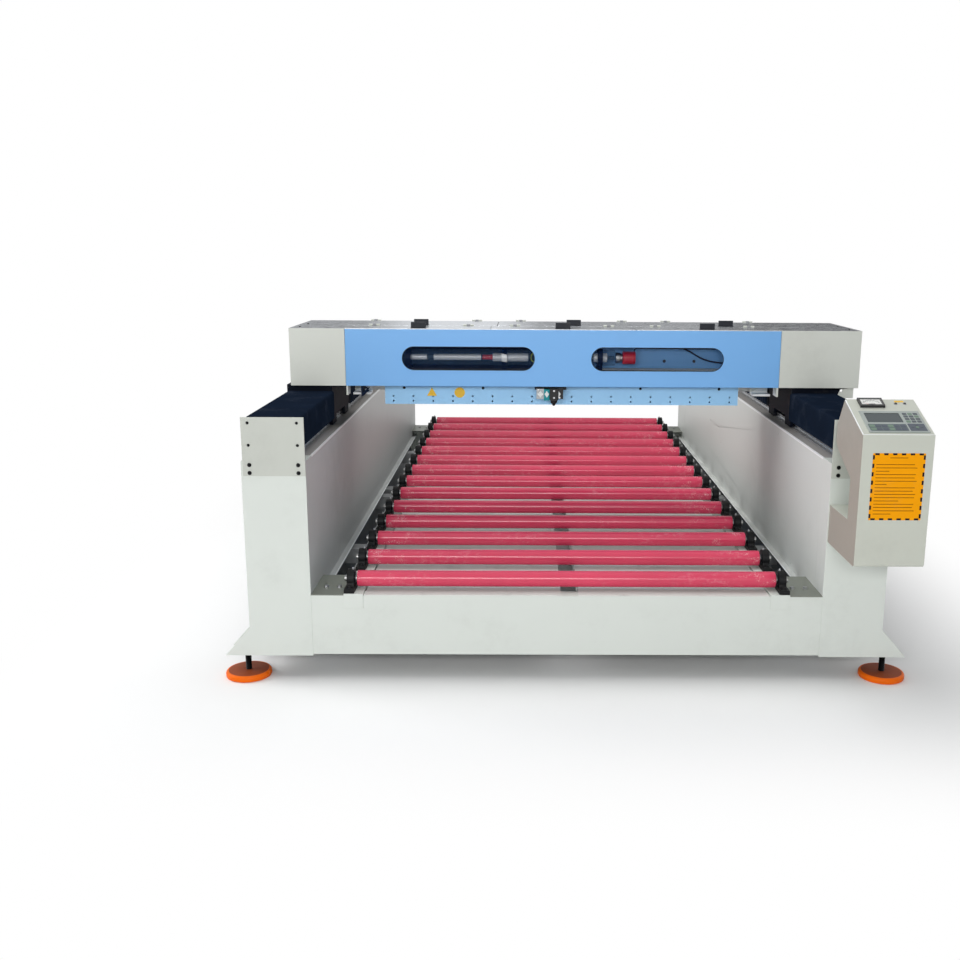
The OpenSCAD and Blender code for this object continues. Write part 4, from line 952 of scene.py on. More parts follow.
class Palette:
    """Every material of the machine, built when it is first asked for."""

    def __init__(self) -> None:
        """Lists the finishes."""
        self.effects = Effects()
        self.made: dict[str, Material] = {}
        p = paint_value
        self.finishes: dict[str, Finish] = {f.name: f for f in (
            Paint("frame_paint", p(214, 219, 213), 0.38),
            Paint("wall_paint", p(212, 214, 210), 0.4, gloss=0.3, peel=0.05, dirt=0.12, dust=0.05, soil_scale=1.6),
            # darker copy of the wall paint for the left wall: painted shade, with a little more soil
            Paint("wall_paint_shaded", p(190, 192, 191), 0.4, gloss=0.3, peel=0.05, dirt=0.16, dust=0.05, soil_scale=1.6),
            Paint("flange_paint", p(150, 146, 143), 0.42, dirt=0.3),
            Paint("cover_paint", p(213, 216, 208), 0.42),
            Paint("cabinet_paint", p(196, 199, 188), 0.42),
            # darker copy of the cabinet paint for its left side: painted shade
            Paint("cabinet_side_shaded", p(162, 156, 146), 0.42),
            Paint("plate_paint", p(193, 196, 188), 0.42),
            Paint("blue_paint", p(120, 180, 238), 0.4, drift=0.04, dirt=0.03, dust=0.02),
            # dark paint for the lower inner sheets below the walls: painted shade
            Paint("under_shade_paint", p(62, 70, 80), 0.5, dirt=0.3),
            # near-white for edge strips, the panel's fold bead and a bracket bar: painted highlight
            Paint("highlight_white", p(238, 240, 240), 0.3, dirt=0.05, dust=0.0),
            # lighter copy of the blue for the strip under the cover's overhang: painted light
            Paint("strip_paint_lit", p(160, 214, 255), 0.4, drift=0.04, dirt=0.03, dust=0.02),
            BareMetal("lid_paint", p(196, 199, 204), 0.24, stretch=(1.0, 6.0, 6.0), grain=0.04, relief=0.01, dirt=0.06),
            Paint("corner_steel", p(120, 124, 114), 0.4, dirt=0.3),
            Moulded("handle_grey", p(40, 43, 50), 0.45, gloss=0.2),
            # flat mid grey standing in for the lid metal's reflections on the knuckles: painted reflection
            Moulded("knuckle_reflection_grey", p(150, 152, 156), 0.6, gloss=0.1),
            Galvanised("zinc", p(150, 152, 154), 0.34),
            BareMetal("deck_steel", p(222, 224, 220), 0.5, metallic=0.15, stretch=(1.0, 30.0, 30.0), dirt=0.25),
            BareMetal("rail_steel", p(176, 178, 182), 0.24, stretch=(40.0, 1.0, 40.0)),
            BareMetal("rack_steel", p(96, 97, 100), 0.4, stretch=(30.0, 3.0, 30.0)),
            BareMetal("shaft_steel", p(168, 168, 166), 0.34, stretch=(1.0, 20.0, 20.0), dirt=0.1),
            BareMetal("black_screw", p(30, 30, 32), 0.36, grain=0.1, dirt=0.05),
            BareMetal("bright_screw", p(186, 187, 190), 0.28, grain=0.1, dirt=0.1),
            BareMetal("head_grey", p(150, 153, 156), 0.34, stretch=(20.0, 20.0, 1.0)),
            BareMetal("head_teal", p(22, 124, 132), 0.32, stretch=(20.0, 20.0, 1.0), metallic=0.6, dirt=0.03),
            BareMetal("black_anodised", p(26, 27, 30), 0.36, metallic=0.5, grain=0.15),
            BareMetal("tube_sleeve", p(240, 243, 245), 0.3, stretch=(1.0, 18.0, 18.0), metallic=0.15, dirt=0.02),
            Moulded("block_paint", p(12, 13, 15), 0.5, gloss=0.2, skin=0.3, skin_scale=240.0, dust=0.02),
            Moulded("carriage_black", p(10, 16, 28), 0.6, gloss=0.06, dust=0.0),
            Moulded("pad_orange", p(236, 104, 2), 0.45, gloss=0.15, skin=0.05, drift=0.2),
            # darker brown for the pads' tops: painted shade
            Moulded("pad_top", p(140, 62, 24), 0.5, gloss=0.2, skin=0.05, drift=0.35),
            Moulded("black_plastic", p(26, 27, 29), 0.38),
            Moulded("belt_rubber", p(22, 22, 23), 0.6),
            Moulded("seal_rubber", p(20, 24, 34), 0.5),
            Moulded("white_plastic", p(232, 234, 233), 0.34),
            Moulded("red_plastic", p(206, 26, 42), 0.3),
            Moulded("yellow_film", p(238, 190, 34), 0.35, skin=0.03),
            Moulded("amber_card", p(246, 162, 0), 0.6, gloss=0.1, skin=0.03, drift=0.06, dust=0.0),
            Moulded("amber_ink", p(120, 72, 6), 0.6, gloss=0.1, skin=0.0, drift=0.02),
            Moulded("amber_border", p(30, 20, 26), 0.6, gloss=0.1, skin=0.0, drift=0.02),
            Moulded("film_grey", p(158, 166, 162), 0.4, skin=0.05),
            Moulded("film_dark", p(76, 90, 94), 0.4, skin=0.05),
            Moulded("key_green", p(96, 122, 104), 0.36, skin=0.05),
            Moulded("key_blue", p(56, 68, 82), 0.36, skin=0.05),
            Moulded("key_pale", p(62, 72, 80), 0.36, skin=0.05),
            Moulded("screen", p(40, 56, 60), 0.12, skin=0.0, drift=0.2),
            Moulded("dial_white", p(240, 240, 234), 0.4, skin=0.0, drift=0.02),
            Moulded("ink", p(24, 24, 26), 0.5, skin=0.0),
            CoatedCloth("bellows_cloth", p(14, 27, 45), 0.5, gloss=0.06),
            RollerSleeve("sleeve_red", p(212, 60, 92), 0.2),
            Clear("window_pane", p(6, 30, 66), 0.06, see_through=0.84, gloss=0.08),
            Clear("tube_glass", p(96, 130, 160), 0.04, see_through=0.84),
            Clear("dial_glass", p(225, 230, 232), 0.04, see_through=0.9),
            # navy of the shaded gantry interior, on the mounts and the liner sheet: painted shade
            Moulded("mount_navy", p(10, 26, 50), 0.5, gloss=0.1, dust=0.0),
            Moulded("earth_green", p(186, 200, 40), 0.4),
            StudioFloor("studio_floor", p(240, 240, 240), 0.8),
        )}

    def __getitem__(self, name: str) -> Material:
        """Returns the material of that name, building it if need be."""
        if name not in self.made:
            self.made[name] = self.finishes[name].build(self.effects)
        return self.made[name]


# ------------------------------------------------------------------- places


def upright(outline: Array) -> Array:
    """Turns an outline drawn in X and Z into the pairs that Axis.Y takes, still counter-clockwise."""
    return np.asarray(outline, float)[::-1, ::-1]


def shifted(outline: Array, x: float, y: float) -> Array:
    """Moves an outline in its own plane."""
    return np.asarray(outline, float) + np.array([x, y])


@dataclass(frozen=True)
class Layout:
    """Planes that pieces are placed from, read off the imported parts.

    Attributes:
        front: Y of the legs' front face.
        rear: Y of the rear legs' face.
        bed_half: half the clear width between the walls.
        leg_top: height of the legs.
        bar_top: height that the pillow blocks stand at.
        block_x: distance from the middle to a pillow block's middle.
        cover_front: Y of the gantry's front face.
        cover_low: height of the covers' lower edge.
        cover_top: height of the lids' top.
        beam_face: Y of the beam's front face.
        strip_low: height of the drilled strip's lower edge.
    """

    front: float
    rear: float
    bed_half: float
    leg_top: float
    bar_top: float
    block_x: float
    cover_front: float
    cover_low: float
    cover_top: float
    beam_face: float
    strip_low: float

    @classmethod
    def read(cls) -> "Layout":
        """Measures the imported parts' boxes."""
        legs, plates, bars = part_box("front_frame"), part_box("bellows_end_plates"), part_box("roller_bars")
        cover, beam, frame_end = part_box("front_cover"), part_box("gantry_beam"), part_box("rear_frame")
        return cls(front=legs[0].y, rear=frame_end[1].y, bed_half=plates[1].x - 200 * MM, leg_top=legs[1].z,
                   bar_top=bars[1].z, block_x=bars[1].x - 17.5 * MM, cover_front=cover[0].y, cover_low=cover[0].z,
                   cover_top=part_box("end_cover_left")[1].z, beam_face=beam[0].y + 38 * MM,
                   strip_low=beam[0].z)


class Section:
    """A part of the machine that is dressed and fitted out as one."""

    def __init__(self, palette: Palette, layout: Layout) -> None:
        """Keeps the palette and the layout."""
        self.palette, self.layout = palette, layout

    def build(self) -> None:
        """Dresses and adds everything of the section; each section has its own."""
        raise NotImplementedError

    def dress(self, node: str, look: str, edge: float = 0.0) -> Object:
        """Gives a carried-over part the finish of that name, with softened edges."""
        return dress(node, self.palette[look], edge)

    def wear(self, piece: Object, look: str, test: Callable[[Array], Array]) -> None:
        """Gives a further finish to the faces of a part that pass a test."""
        wear_where(piece, self.palette[look], test)

    def piece(self, name: str, patches: Iterable[Patch], looks: str, body: str, slot: str,
              sharp: float = 35.0) -> Object:
        """Makes a piece whose finishes are named in one string, in the order of the material numbers."""
        return make_piece(name, patches, [self.palette[look] for look in looks.split()], body, sharp)


# -------------------------------------------------------------- frame and bed


@dataclass(frozen=True)
class ScrewPlan:
    """Screws of one size at set places across a plate.

    Attributes:
        size: thread diameter.
        heights: heights above the plate's lower edge.
        inset: distance in from each side edge.
    """

    size: float
    heights: tuple[float, ...]
    inset: float


class Frame(Section):
    """End frames, walls, feet and the plates that close the bellows' channels."""

    WALL_FOOT, SILL, PLATE = 171 * MM, 210 * MM, 3.2 * MM
    CORNER_BOLTS, CORNER_IN = (762 * MM, 806 * MM), 82 * MM
    PLATE_SCREWS = (ScrewPlan(4.6 * MM, (172 * MM, 100 * MM), 22 * MM),
                    ScrewPlan(6.4 * MM, (36 * MM, 10 * MM), 22 * MM))

    def build(self) -> None:
        """Dresses the welded parts and adds screws and feet."""
        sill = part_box("front_frame")[0].z + self.SILL
        for node in ("front_frame", "rear_frame"):
            ends = self.dress(node, "frame_paint", 1.6 * MM)
            self.wear(ends, "corner_steel",
                       lambda c: (c[:, 2] > sill + 0.1 * MM) & (c[:, 2] < sill + self.PLATE))
            # frame faces along the walls take the wall paints; the left one is the darker copy, painted shade
            for side, paint in ((Side.LEFT, "wall_paint_shaded"), (Side.RIGHT, "wall_paint")):
                self.wear(ends, paint,
                           lambda c, s=side: (np.abs(s.value * c[:, 0] - self.layout.bed_half) < 0.5 * MM)
                           & (c[:, 2] > sill + self.PLATE))
        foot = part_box("side_beam_left")[0].z + self.WALL_FOOT
        # the left wall wears the darker copy of the wall paint: painted shade
        for node, paint in (("side_beam_left", "wall_paint_shaded"), ("side_beam_right", "wall_paint")):
            wall = self.dress(node, paint, 1.3 * MM)
            # the lower inner sheet below the wall's foot is painted dark: painted shade
            self.wear(wall, "under_shade_paint",
                       lambda c: (np.abs(c[:, 0]) < self.layout.bed_half + 60 * MM) & (c[:, 2] < foot))
            self.wear(wall, "flange_paint", lambda c: c[:, 2] > self.layout.leg_top - 0.2 * MM)
        self.wall_edge_highlights()
        self.dress("bellows_end_plates", "plate_paint")
        self.dress("roller_bars", "frame_paint", 0.8 * MM)
        self.dress("bed_cross_members", "zinc", 0.8 * MM)
        self.dress("y_rails", "rail_steel", 0.3 * MM)
        self.dress("y_racks", "rack_steel")
        self.plate_screws()
        self.corner_screws()
        self.feet()

    def wall_edge_highlights(self) -> None:
        """Lays near-white strips of painted highlight along the walls' edges, at the rail flange and at the folded lip.
        """
        low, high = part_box("side_beam_right")
        x, top, foot = self.layout.bed_half, self.layout.leg_top, low.z + self.WALL_FOOT
        strip = block((x - 0.6 * MM, low.y + 1 * MM, top - 6 * MM), (x + 5 * MM, high.y - 1 * MM, top + 0.5 * MM),
                      0.25 * MM)
        lip = block((x - 23.6 * MM, low.y + 1 * MM, foot + 3 * MM), (x - 18.6 * MM, high.y - 1 * MM, foot + 4.6 * MM),
                    0.3 * MM)
        self.piece("wall_edge_highlights", both_sides([strip, lip]), "highlight_white", "frame", "frame_paint")

    def plate_screws(self) -> None:
        """Fills the end plates' holes with socket screws at both ends and on both sides."""
        low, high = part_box("bellows_end_plates")
        patches = []
        for plan in self.PLATE_SCREWS:
            for height in plan.heights:
                for x in (self.layout.bed_half + plan.inset, high.x - plan.inset):
                    for y, out in ((low.y, -1.0), (high.y, 1.0)):
                        patches += both_sides(screw((x, y, low.z + height), Axis.Y, out, plan.size))
        self.piece("end_plate_screws", patches, "black_screw", "frame", "block_iron")

    def corner_screws(self) -> None:
        """Bolts the four corner plates down beside the roller bars."""
        patches = []
        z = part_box("front_frame")[0].z + 213 * MM
        for depth in (self.layout.front + self.CORNER_IN, self.layout.rear - self.CORNER_IN):
            for x in self.CORNER_BOLTS:
                patches += both_sides(screw((x, depth, z), Axis.Z, 1.0, 8 * MM, Head.HEX))
        self.piece("corner_plate_bolts", patches, "bright_screw", "frame", "rail_steel")

    def feet(self) -> None:
        """Builds six levelling feet: a domed rubber pad, a threaded rod and a lock nut."""
        low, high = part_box("levelling_feet")
        radius = 75 * MM
        pad = mm((0.001, 0), (70, 0), (73.5, 1), (75, 4))
        for angle in np.linspace(0.0, math.pi / 2.0, 9):
            pad.append((66 * MM + 9 * MM * math.cos(angle), 11.5 * MM + 9 * MM * math.sin(angle)))
        top = [pad[-1], (58 * MM, 21.4 * MM), (40 * MM, 22 * MM), (17 * MM, 22 * MM), (16 * MM, 21 * MM),
               (1e-6, 21 * MM)]
        turns = np.arange(20 * MM, high.z - 1.5 * MM, 2.5 * MM)
        rod = [(1e-6, turns[0])] + [(r, h + s) for h in turns for r, s in ((8.9 * MM, 0.0), (10 * MM, 1.25 * MM))]
        rod += [(8.6 * MM, high.z), (1e-6, high.z)]
        # the pad's top wears a darker brown (finish 3): painted shade
        parts = [revolved(pad, Axis.Z, ORIGIN, 96), revolved(top, Axis.Z, ORIGIN, 96, 3),
                 revolved(rod, Axis.Z, ORIGIN, 28, 1)]
        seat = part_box("front_frame")[0].z + 12 * MM
        washer = [(10 * MM, seat), (17 * MM, seat), (17 * MM, seat + 1.5 * MM), (10 * MM, seat + 1.6 * MM)]
        parts.append(revolved(washer,
                              Axis.Z, ORIGIN, 32, 2))
        parts.append(prism(circle_outline(17.2 * MM, 6), Axis.Z, seat + 1.5 * MM, seat + 16 * MM, 1 * MM, 2))
        x = high.x - radius
        patches = []
        for y in (low.y + radius, (self.layout.front + self.layout.rear) / 2.0, high.y - radius):
            patches += [p.moved((side.value * x, y, 0.0)) for side in Side for p in parts]
        feet = self.piece("feet", patches, "pad_orange black_screw black_screw pad_top", "frame", "foot_rubber")
        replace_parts(feet, "levelling_feet")


class RollerBed(Section):
    """The rollers, their bearings and the deck under them."""

    HALF, RADIUS, HUB, SHAFT, REACH = 697 * MM, 27 * MM, 15 * MM, 10 * MM, 741 * MM

    def __init__(self, palette: Palette, layout: Layout) -> None:
        """Keeps the palette, the layout and the rollers' axes."""
        super().__init__(palette, layout)
        self.names = sorted(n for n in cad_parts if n.startswith("roller_") and n[7:].isdigit())

    def axis_of(self, name: str) -> tuple[float, float]:
        """Returns the Y and Z of a roller's axis."""
        return middle_of(name)[1:]

    def build(self) -> None:
        """Builds each roller on its own body, then the bearings, blocks and deck."""
        for name in self.names:
            self.roller(name)
        self.dress("pillow_blocks", "block_paint", 1.2 * MM)
        self.dress("deck_sheets", "deck_steel", 0.5 * MM)
        self.bearings()

    def roller(self, name: str) -> None:
        """Replaces one roller by a smooth sleeve with rolled ends, hub discs and a ground shaft."""
        y, z = self.axis_of(name)
        h, r = self.HALF, self.RADIUS
        lip = [(r - 3.5 * MM, h - 4 * MM), (r - 3.5 * MM, h - 0.8 * MM), (r - 2.8 * MM, h - 0.1 * MM),
               (r - 1.6 * MM, h), (r - 0.5 * MM, h - 0.5 * MM), (r, h - 1.8 * MM)]
        inner = (self.HUB, h - 4 * MM)
        sleeve = [(inner[0], -inner[1])] + [(a, -b) for a, b in lip]
        sleeve += [(r, s * h) for s in np.linspace(-0.96, 0.96, 9)] + lip[::-1] + [inner]
        hub = [(self.SHAFT, -h - 4 * MM), (self.HUB - 1 * MM, -h - 4 * MM), (self.HUB, -h - 3 * MM),
               (self.HUB, h + 3 * MM), (self.HUB - 1 * MM, h + 4 * MM), (self.SHAFT, h + 4 * MM)]
        end = self.REACH
        shaft = [(1e-6, -end), (3 * MM, -end), (3 * MM, -end + 1 * MM), (3.4 * MM, -end), (self.SHAFT - 1 * MM, -end),
                 (self.SHAFT, -end + 1 * MM), (self.SHAFT, end - 1 * MM), (self.SHAFT - 1 * MM, end),
                 (3.4 * MM, end), (3 * MM, end - 1 * MM), (3 * MM, end), (1e-6, end)]
        centre = (0.0, y, z)
        patches = [revolved(sleeve, Axis.X, centre, 72), revolved(hub, Axis.X, centre, 36, 1),
                   revolved(shaft, Axis.X, centre, 36, 1)]
        piece = self.piece(name + "_turned", patches, "sleeve_red shaft_steel", name, "roller_red")
        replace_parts(piece, name)

    def bearings(self) -> None:
        """Adds to every pillow block its seal rings, set screws and a grease nipple."""
        x = self.layout.block_x
        patches = []
        for name in self.names:
            y, z = self.axis_of(name)
            for out in (-1.0, 1.0):
                side = np.diag([out, 1.0, out])
                ring = mm((10.3, 15.2), (13.6, 15.2), (13.6, 16.1), (10.3, 16.4))
                seal = mm((15, 11.6), (23, 11.6), (23.6, 12.6), (22, 13.4), (17, 13.0), (15, 12.2))
                pair = [revolved(ring, Axis.X, ORIGIN, 28, 1), revolved(seal, Axis.X, ORIGIN, 32, 2)]
                patches += [p.turned(side).moved((x, y, z)) for p in pair]
            top = self.layout.bar_top + 64.2 * MM
            nipple = mm((0.001, -1), (4, -1), (4, 2.4), (2, 3), (2, 4.6), (2.9, 5.4), (2.6, 6.8), (1.2, 7.6),
                        (0.001, 7.8))
            patches.append(revolved(nipple, Axis.Z, (x - 6 * MM, y, top), 12, 1))
            for turn in (0.6, 2.2):
                place = (x + 13.6 * MM, y + 12 * MM * math.cos(turn), z + 12 * MM * math.sin(turn))
                patches.append(revolved(mm((0.001, 0), (2, 0), (2, 3.4), (0.001, 3.4)),
                                        Axis.Z, place, 10, 1))
        patches += [p.mirrored() for p in patches]
        self.piece("bearing_fittings", patches, "block_paint bright_screw seal_rubber", "frame", "block_iron")


# ------------------------------------------------------------------- bellows


@dataclass(frozen=True)
class BellowsSize:
    """Section and pleats of the cloth bellows.

    Attributes:
        inner: distance from the machine's middle to the inner skirt.
        outer: distance to the outer skirt.
        low: height of the skirts' lower edge.
        top: height of the ridges.
        depth: how deep a pleat goes.
        folds: number of pleats.
        rows: rows of vertices in each pleat.
        cloth: thickness of the cloth.
    """

    inner: float
    outer: float
    low: float
    top: float
    depth: float = 13 * MM
    folds: int = 60
    rows: int = 8
    cloth: float = 1.4 * MM


class Bellows(Section):
    """Four pleated covers over the gantry's rails, each stretched between the frame and the gantry."""

    def build(self) -> None:
        """Pleats the four bellows in place of the solid ones."""
        for side in Side:
            for end in ("front", "rear"):
                self.one(side, end)

    def one(self, side: Side, end: str) -> None:
        """Builds one bellows between its fixed end and its end on the carriage, and works out weights for stretching it
        that nothing applies.
        """
        node = f"bellows_{end}_{side.name.lower()}"
        low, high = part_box(node)
        inner, outer = sorted((abs(low.x), abs(high.x)))
        size = BellowsSize(inner, min(outer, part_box("bellows_end_plates")[1].x), low.z, high.z)
        patch = self.pleats(size, low.y + 0.4 * MM, high.y - 0.4 * MM)
        if side is Side.LEFT:
            patch = patch.mirrored()
        piece = self.piece(node + "_cloth", [patch], "bellows_cloth", "", "bellows_cloth", 60.0)
        fixed, moving = (low.y, high.y) if end == "front" else (high.y, low.y)
        self.stretch(piece, fixed, moving)
        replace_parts(piece, node)

    def pleats(self, size: BellowsSize, start: float, stop: float) -> Patch:
        """Surface of pleated cloth, a shell as thick as the cloth.

        A point of the section goes inwards along its normal by depth * w(y), where
        w = ((1 - cos(2 pi folds t)) / 2) ** 0.8 and t runs from 0 to 1 along the bellows.
        The normals of a rounded corner fan out, so its pleats are mitred.

        Args:
            size: section and pleats.
            start: Y of one end.
            stop: Y of the other end.

        Returns:
            Outer and inner skins joined at the hems and at both ends.
        """
        section, normal = self.section(size)
        rows = size.folds * size.rows + 1
        t = np.linspace(0.0, 1.0, rows)
        wave = ((1.0 - np.cos(2.0 * math.pi * size.folds * t)) / 2.0) ** 0.8
        skins = []
        for shift in (0.0, size.cloth):
            inwards = (size.depth - size.cloth) * wave[:, None] + shift
            x = section[None, :, 0] - normal[None, :, 0] * inwards
            z = section[None, :, 1] - normal[None, :, 1] * inwards
            z = np.maximum(z, size.low)
            y = np.broadcast_to((start + (stop - start) * t)[:, None], x.shape)
            skins.append(np.stack([x, y, z], axis=2))
        columns = section.shape[0]
        sheet = np.concatenate([skins[0], skins[1][:, ::-1]], axis=1)
        walls = grid_faces(rows, 2 * columns, wrap_columns=True)[:, ::-1]
        k = np.arange(columns - 1)
        mate = 2 * columns - 1 - k
        near = np.stack([k, k + 1, mate - 1, mate], 1)
        far = (near + (rows - 1) * 2 * columns)[:, ::-1]
        return Patch(sheet.reshape(-1, 3), np.vstack([walls, near, far])[:, ::-1])

    @staticmethod
    def section(size: BellowsSize) -> tuple[Array, Array]:
        """Points and outward normals along the section, from the inner hem over the top to the outer hem."""
        corner, steps = 9 * MM, 5
        turn = np.linspace(math.pi, math.pi / 2.0, steps)
        arc = np.stack([np.cos(turn), np.sin(turn)], 1)
        left = np.array([size.inner + corner, size.top - corner]) + corner * arc
        flip = np.array([-1.0, 1.0])
        right = (np.array([-(size.outer - corner), size.top - corner]) + corner * arc)[::-1] * flip
        hem = np.linspace(size.low, size.top - corner, 4, endpoint=False)
        up = np.stack([np.full(4, size.inner), hem], 1)
        down = np.stack([np.full(4, size.outer), hem[::-1]], 1)
        middle = np.stack([np.linspace(left[-1, 0], right[0, 0], 6)[1:-1], np.full(4, size.top)], 1)
        points = np.vstack([up, left, middle, right, down])
        normals = np.vstack([np.tile([-1.0, 0.0], (4, 1)), arc, np.tile([0.0, 1.0], (4, 1)), arc[::-1] * flip,
                             np.tile([1.0, 0.0], (4, 1))])
        return points, normals

    @staticmethod
    def stretch(piece: Object, fixed: float, moving: float) -> None:
        """Bakes the piece's place into its mesh and works out even weights for the gantry's travel, weight = (y -
        fixed) / (moving - fixed), which nothing applies.

        With a travel this long they would push the middle pleats through each other, and even
        weights keep every pleat the same width.
        """
        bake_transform(piece)
        points = np.zeros(len(piece.data.vertices) * 3, np.float32)
        piece.data.vertices.foreach_get("co", points)
        weight = np.clip((points[1::3] - fixed) / (moving - fixed), 0.0, 1.0)


# -------------------------------------------------------------------- gantry


class GantryCovers(Section):
    """Covers, windows, lids and the drilled strip of the gantry."""

    WINDOW_X, WINDOW_L, WINDOW_H, WINDOW_UP = 354 * MM, 498 * MM, 90 * MM, 104 * MM
    GRIP_AT, GRIP_HALF = 42 * MM, 14 * MM
    BOLT_PITCH, BOLT_UP = 303 * MM, 63 * MM
    TRIANGLE_AT, DISC_AT = (-500 * MM, 860 * MM), (-393 * MM, 862 * MM)

    def build(self) -> None:
        """Dresses the covers and adds what is fixed to them."""
        beam = self.dress("gantry_beam", "blue_paint")
        low = self.layout.cover_low
        # the strip's faces below the cover wear a lighter blue: painted light
        self.wear(beam, "strip_paint_lit", lambda c: c[:, 2] < low + 1 * MM)
        self.dress("front_cover", "blue_paint", 0.7 * MM)
        self.dress("window_panes", "window_pane")
        for node in ("end_cover_left", "end_cover_right"):
            cover = self.dress(node, "cover_paint", 0.8 * MM)
            self.wear(cover, "lid_paint", lambda c: c[:, 2] > self.layout.cover_top - 0.2 * MM)
        housing = self.dress("gantry_housing", "cover_paint", 0.8 * MM)
        # the bracket bar under the housing is painted near white: painted highlight
        self.wear(housing, "highlight_white", lambda c: c[:, 2] < low - 12 * MM)
        carriages = self.dress("gantry_carriages", "carriage_black", 0.8 * MM)
        self.wear(carriages, "cover_paint", lambda c: c[:, 0] > self.layout.bed_half + 190 * MM)
        for row in ("front", "rear"):
            for place in ("left", "centre", "right"):
                self.lid(f"{row}_lid_{place}")
        self.window_lips()
        self.strip_bolts()
        self.labels()
        self.cover_screws()

    def lid(self, node: str) -> None:
        """Paints a lid and closes its handle with a web and a mounting plate."""
        piece = self.dress(node, "lid_paint", 0.5 * MM)
        grip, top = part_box(node)[0].y + self.GRIP_AT, self.layout.cover_top
        self.wear(piece, "handle_grey",
                   lambda c: (c[:, 2] > top + 0.02 * MM) & (np.abs(c[:, 1] - grip) < self.GRIP_HALF))
        # hinge knuckles wear a flat mid grey: painted reflection
        self.wear(piece, "knuckle_reflection_grey",
                   lambda c: (c[:, 2] > top + 0.6 * MM) & (np.abs(c[:, 1] - grip) > self.GRIP_HALF))
        middle = self.handle_middle(piece, top)
        web = prism(upright(rounded_rectangle(54 * MM, 20 * MM, 2.5 * MM)), Axis.Y, -2.2 * MM, 2.2 * MM, 0.6 * MM)
        foot = prism(rounded_rectangle(60 * MM, 20 * MM, 3 * MM), Axis.Z, -10.6 * MM, -9.8 * MM, 0.3 * MM)
        parts = [p.moved((middle, grip, top + 10.6 * MM)) for p in (web, foot)]
        self.piece(node + "_grip", parts, "handle_grey", node, "meter_black")

    @staticmethod
    def handle_middle(lid: Object, top: float) -> float:
        """Returns the X of the middle of a lid's handle, its highest part above the hinges."""
        points = np.zeros(len(lid.data.vertices) * 3, np.float32)
        lid.data.vertices.foreach_get("co", points)
        points = points.reshape(-1, 3)
        tall = points[points[:, 2] > top + 15 * MM]
        return float((tall[:, 0].min() + tall[:, 0].max()) / 2.0)

    def window_lips(self) -> None:
        """Rolls the sheet's edge round each window into a raised lip with a dark seal inside it."""
        y = self.layout.cover_front
        z = self.layout.cover_low + self.WINDOW_UP
        patches = []
        for grow, low, high, finish in ((3.0, -1.0, 0.4, 0), (0.2, 0.6, 3.4, 1)):
            inner = grow - 3.4 if finish == 0 else grow - 2.2
            outlines = [upright(slot_outline(self.WINDOW_L + 2 * g * MM, self.WINDOW_H + 2 * g * MM, 28))
                        for g in (grow, inner)]
            ring = frame_outline_patch(outlines[0], outlines[1], Axis.Y, low * MM, high * MM, finish)
            patches += [ring.moved((side.value * self.WINDOW_X, y, z)) for side in Side]
        self.piece("window_lips", patches, "blue_paint seal_rubber", "gantry", "blue_paint", 50.0)

    def strip_bolts(self) -> None:
        """Puts a bolt in each of the strip's upper holes, behind the head's path."""
        patches = []
        for k in range(5):
            x = (k - 2) * self.BOLT_PITCH
            patches += screw((x, self.layout.beam_face, self.layout.strip_low + self.BOLT_UP), Axis.Y, -1.0, 5 * MM)
        self.piece("strip_bolts", patches, "black_screw", "gantry", "rail_steel")

    def labels(self) -> None:
        """Sticks a blank yellow triangle and a blank yellow disc on the strip."""
        y = self.layout.beam_face
        angle = math.pi / 2.0 + np.arange(3) * 2.0 * math.pi / 3.0
        corners = 22 * MM * np.stack([np.cos(angle), np.sin(angle)], 1)
        triangle = prism(upright(shifted(corners, *self.TRIANGLE_AT)), Axis.Y, -0.5 * MM, 0.0, 0.15 * MM)
        disc = prism(upright(shifted(circle_outline(20 * MM, 40), *self.DISC_AT)), Axis.Y, -0.5 * MM, 0.0,
                     0.15 * MM)
        patches = [p.moved((0.0, y, 0.0)) for p in (triangle, disc)]
        self.piece("blank_labels", patches, "yellow_film", "gantry", "meter_black")

    def cover_screws(self) -> None:
        """Screws the end covers to the housing along their top seams and outer walls."""
        patches = []
        top = self.layout.cover_top
        for node, sign in (("end_cover_left", -1.0), ("end_cover_right", 1.0)):
            low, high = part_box(node)
            outer = low.x if sign < 0 else high.x
            for y in (low.y + 60 * MM, (low.y + high.y) / 2.0, high.y - 60 * MM):
                patches += screw((outer, y, self.layout.cover_low + 22 * MM), Axis.X, sign, 5 * MM)
                if y < high.y - 200 * MM:
                    patches += screw((outer - sign * 30 * MM, y, top), Axis.Z, 1.0, 4 * MM)
        self.piece("cover_screws", patches, "black_screw", "gantry", "housing_paint")


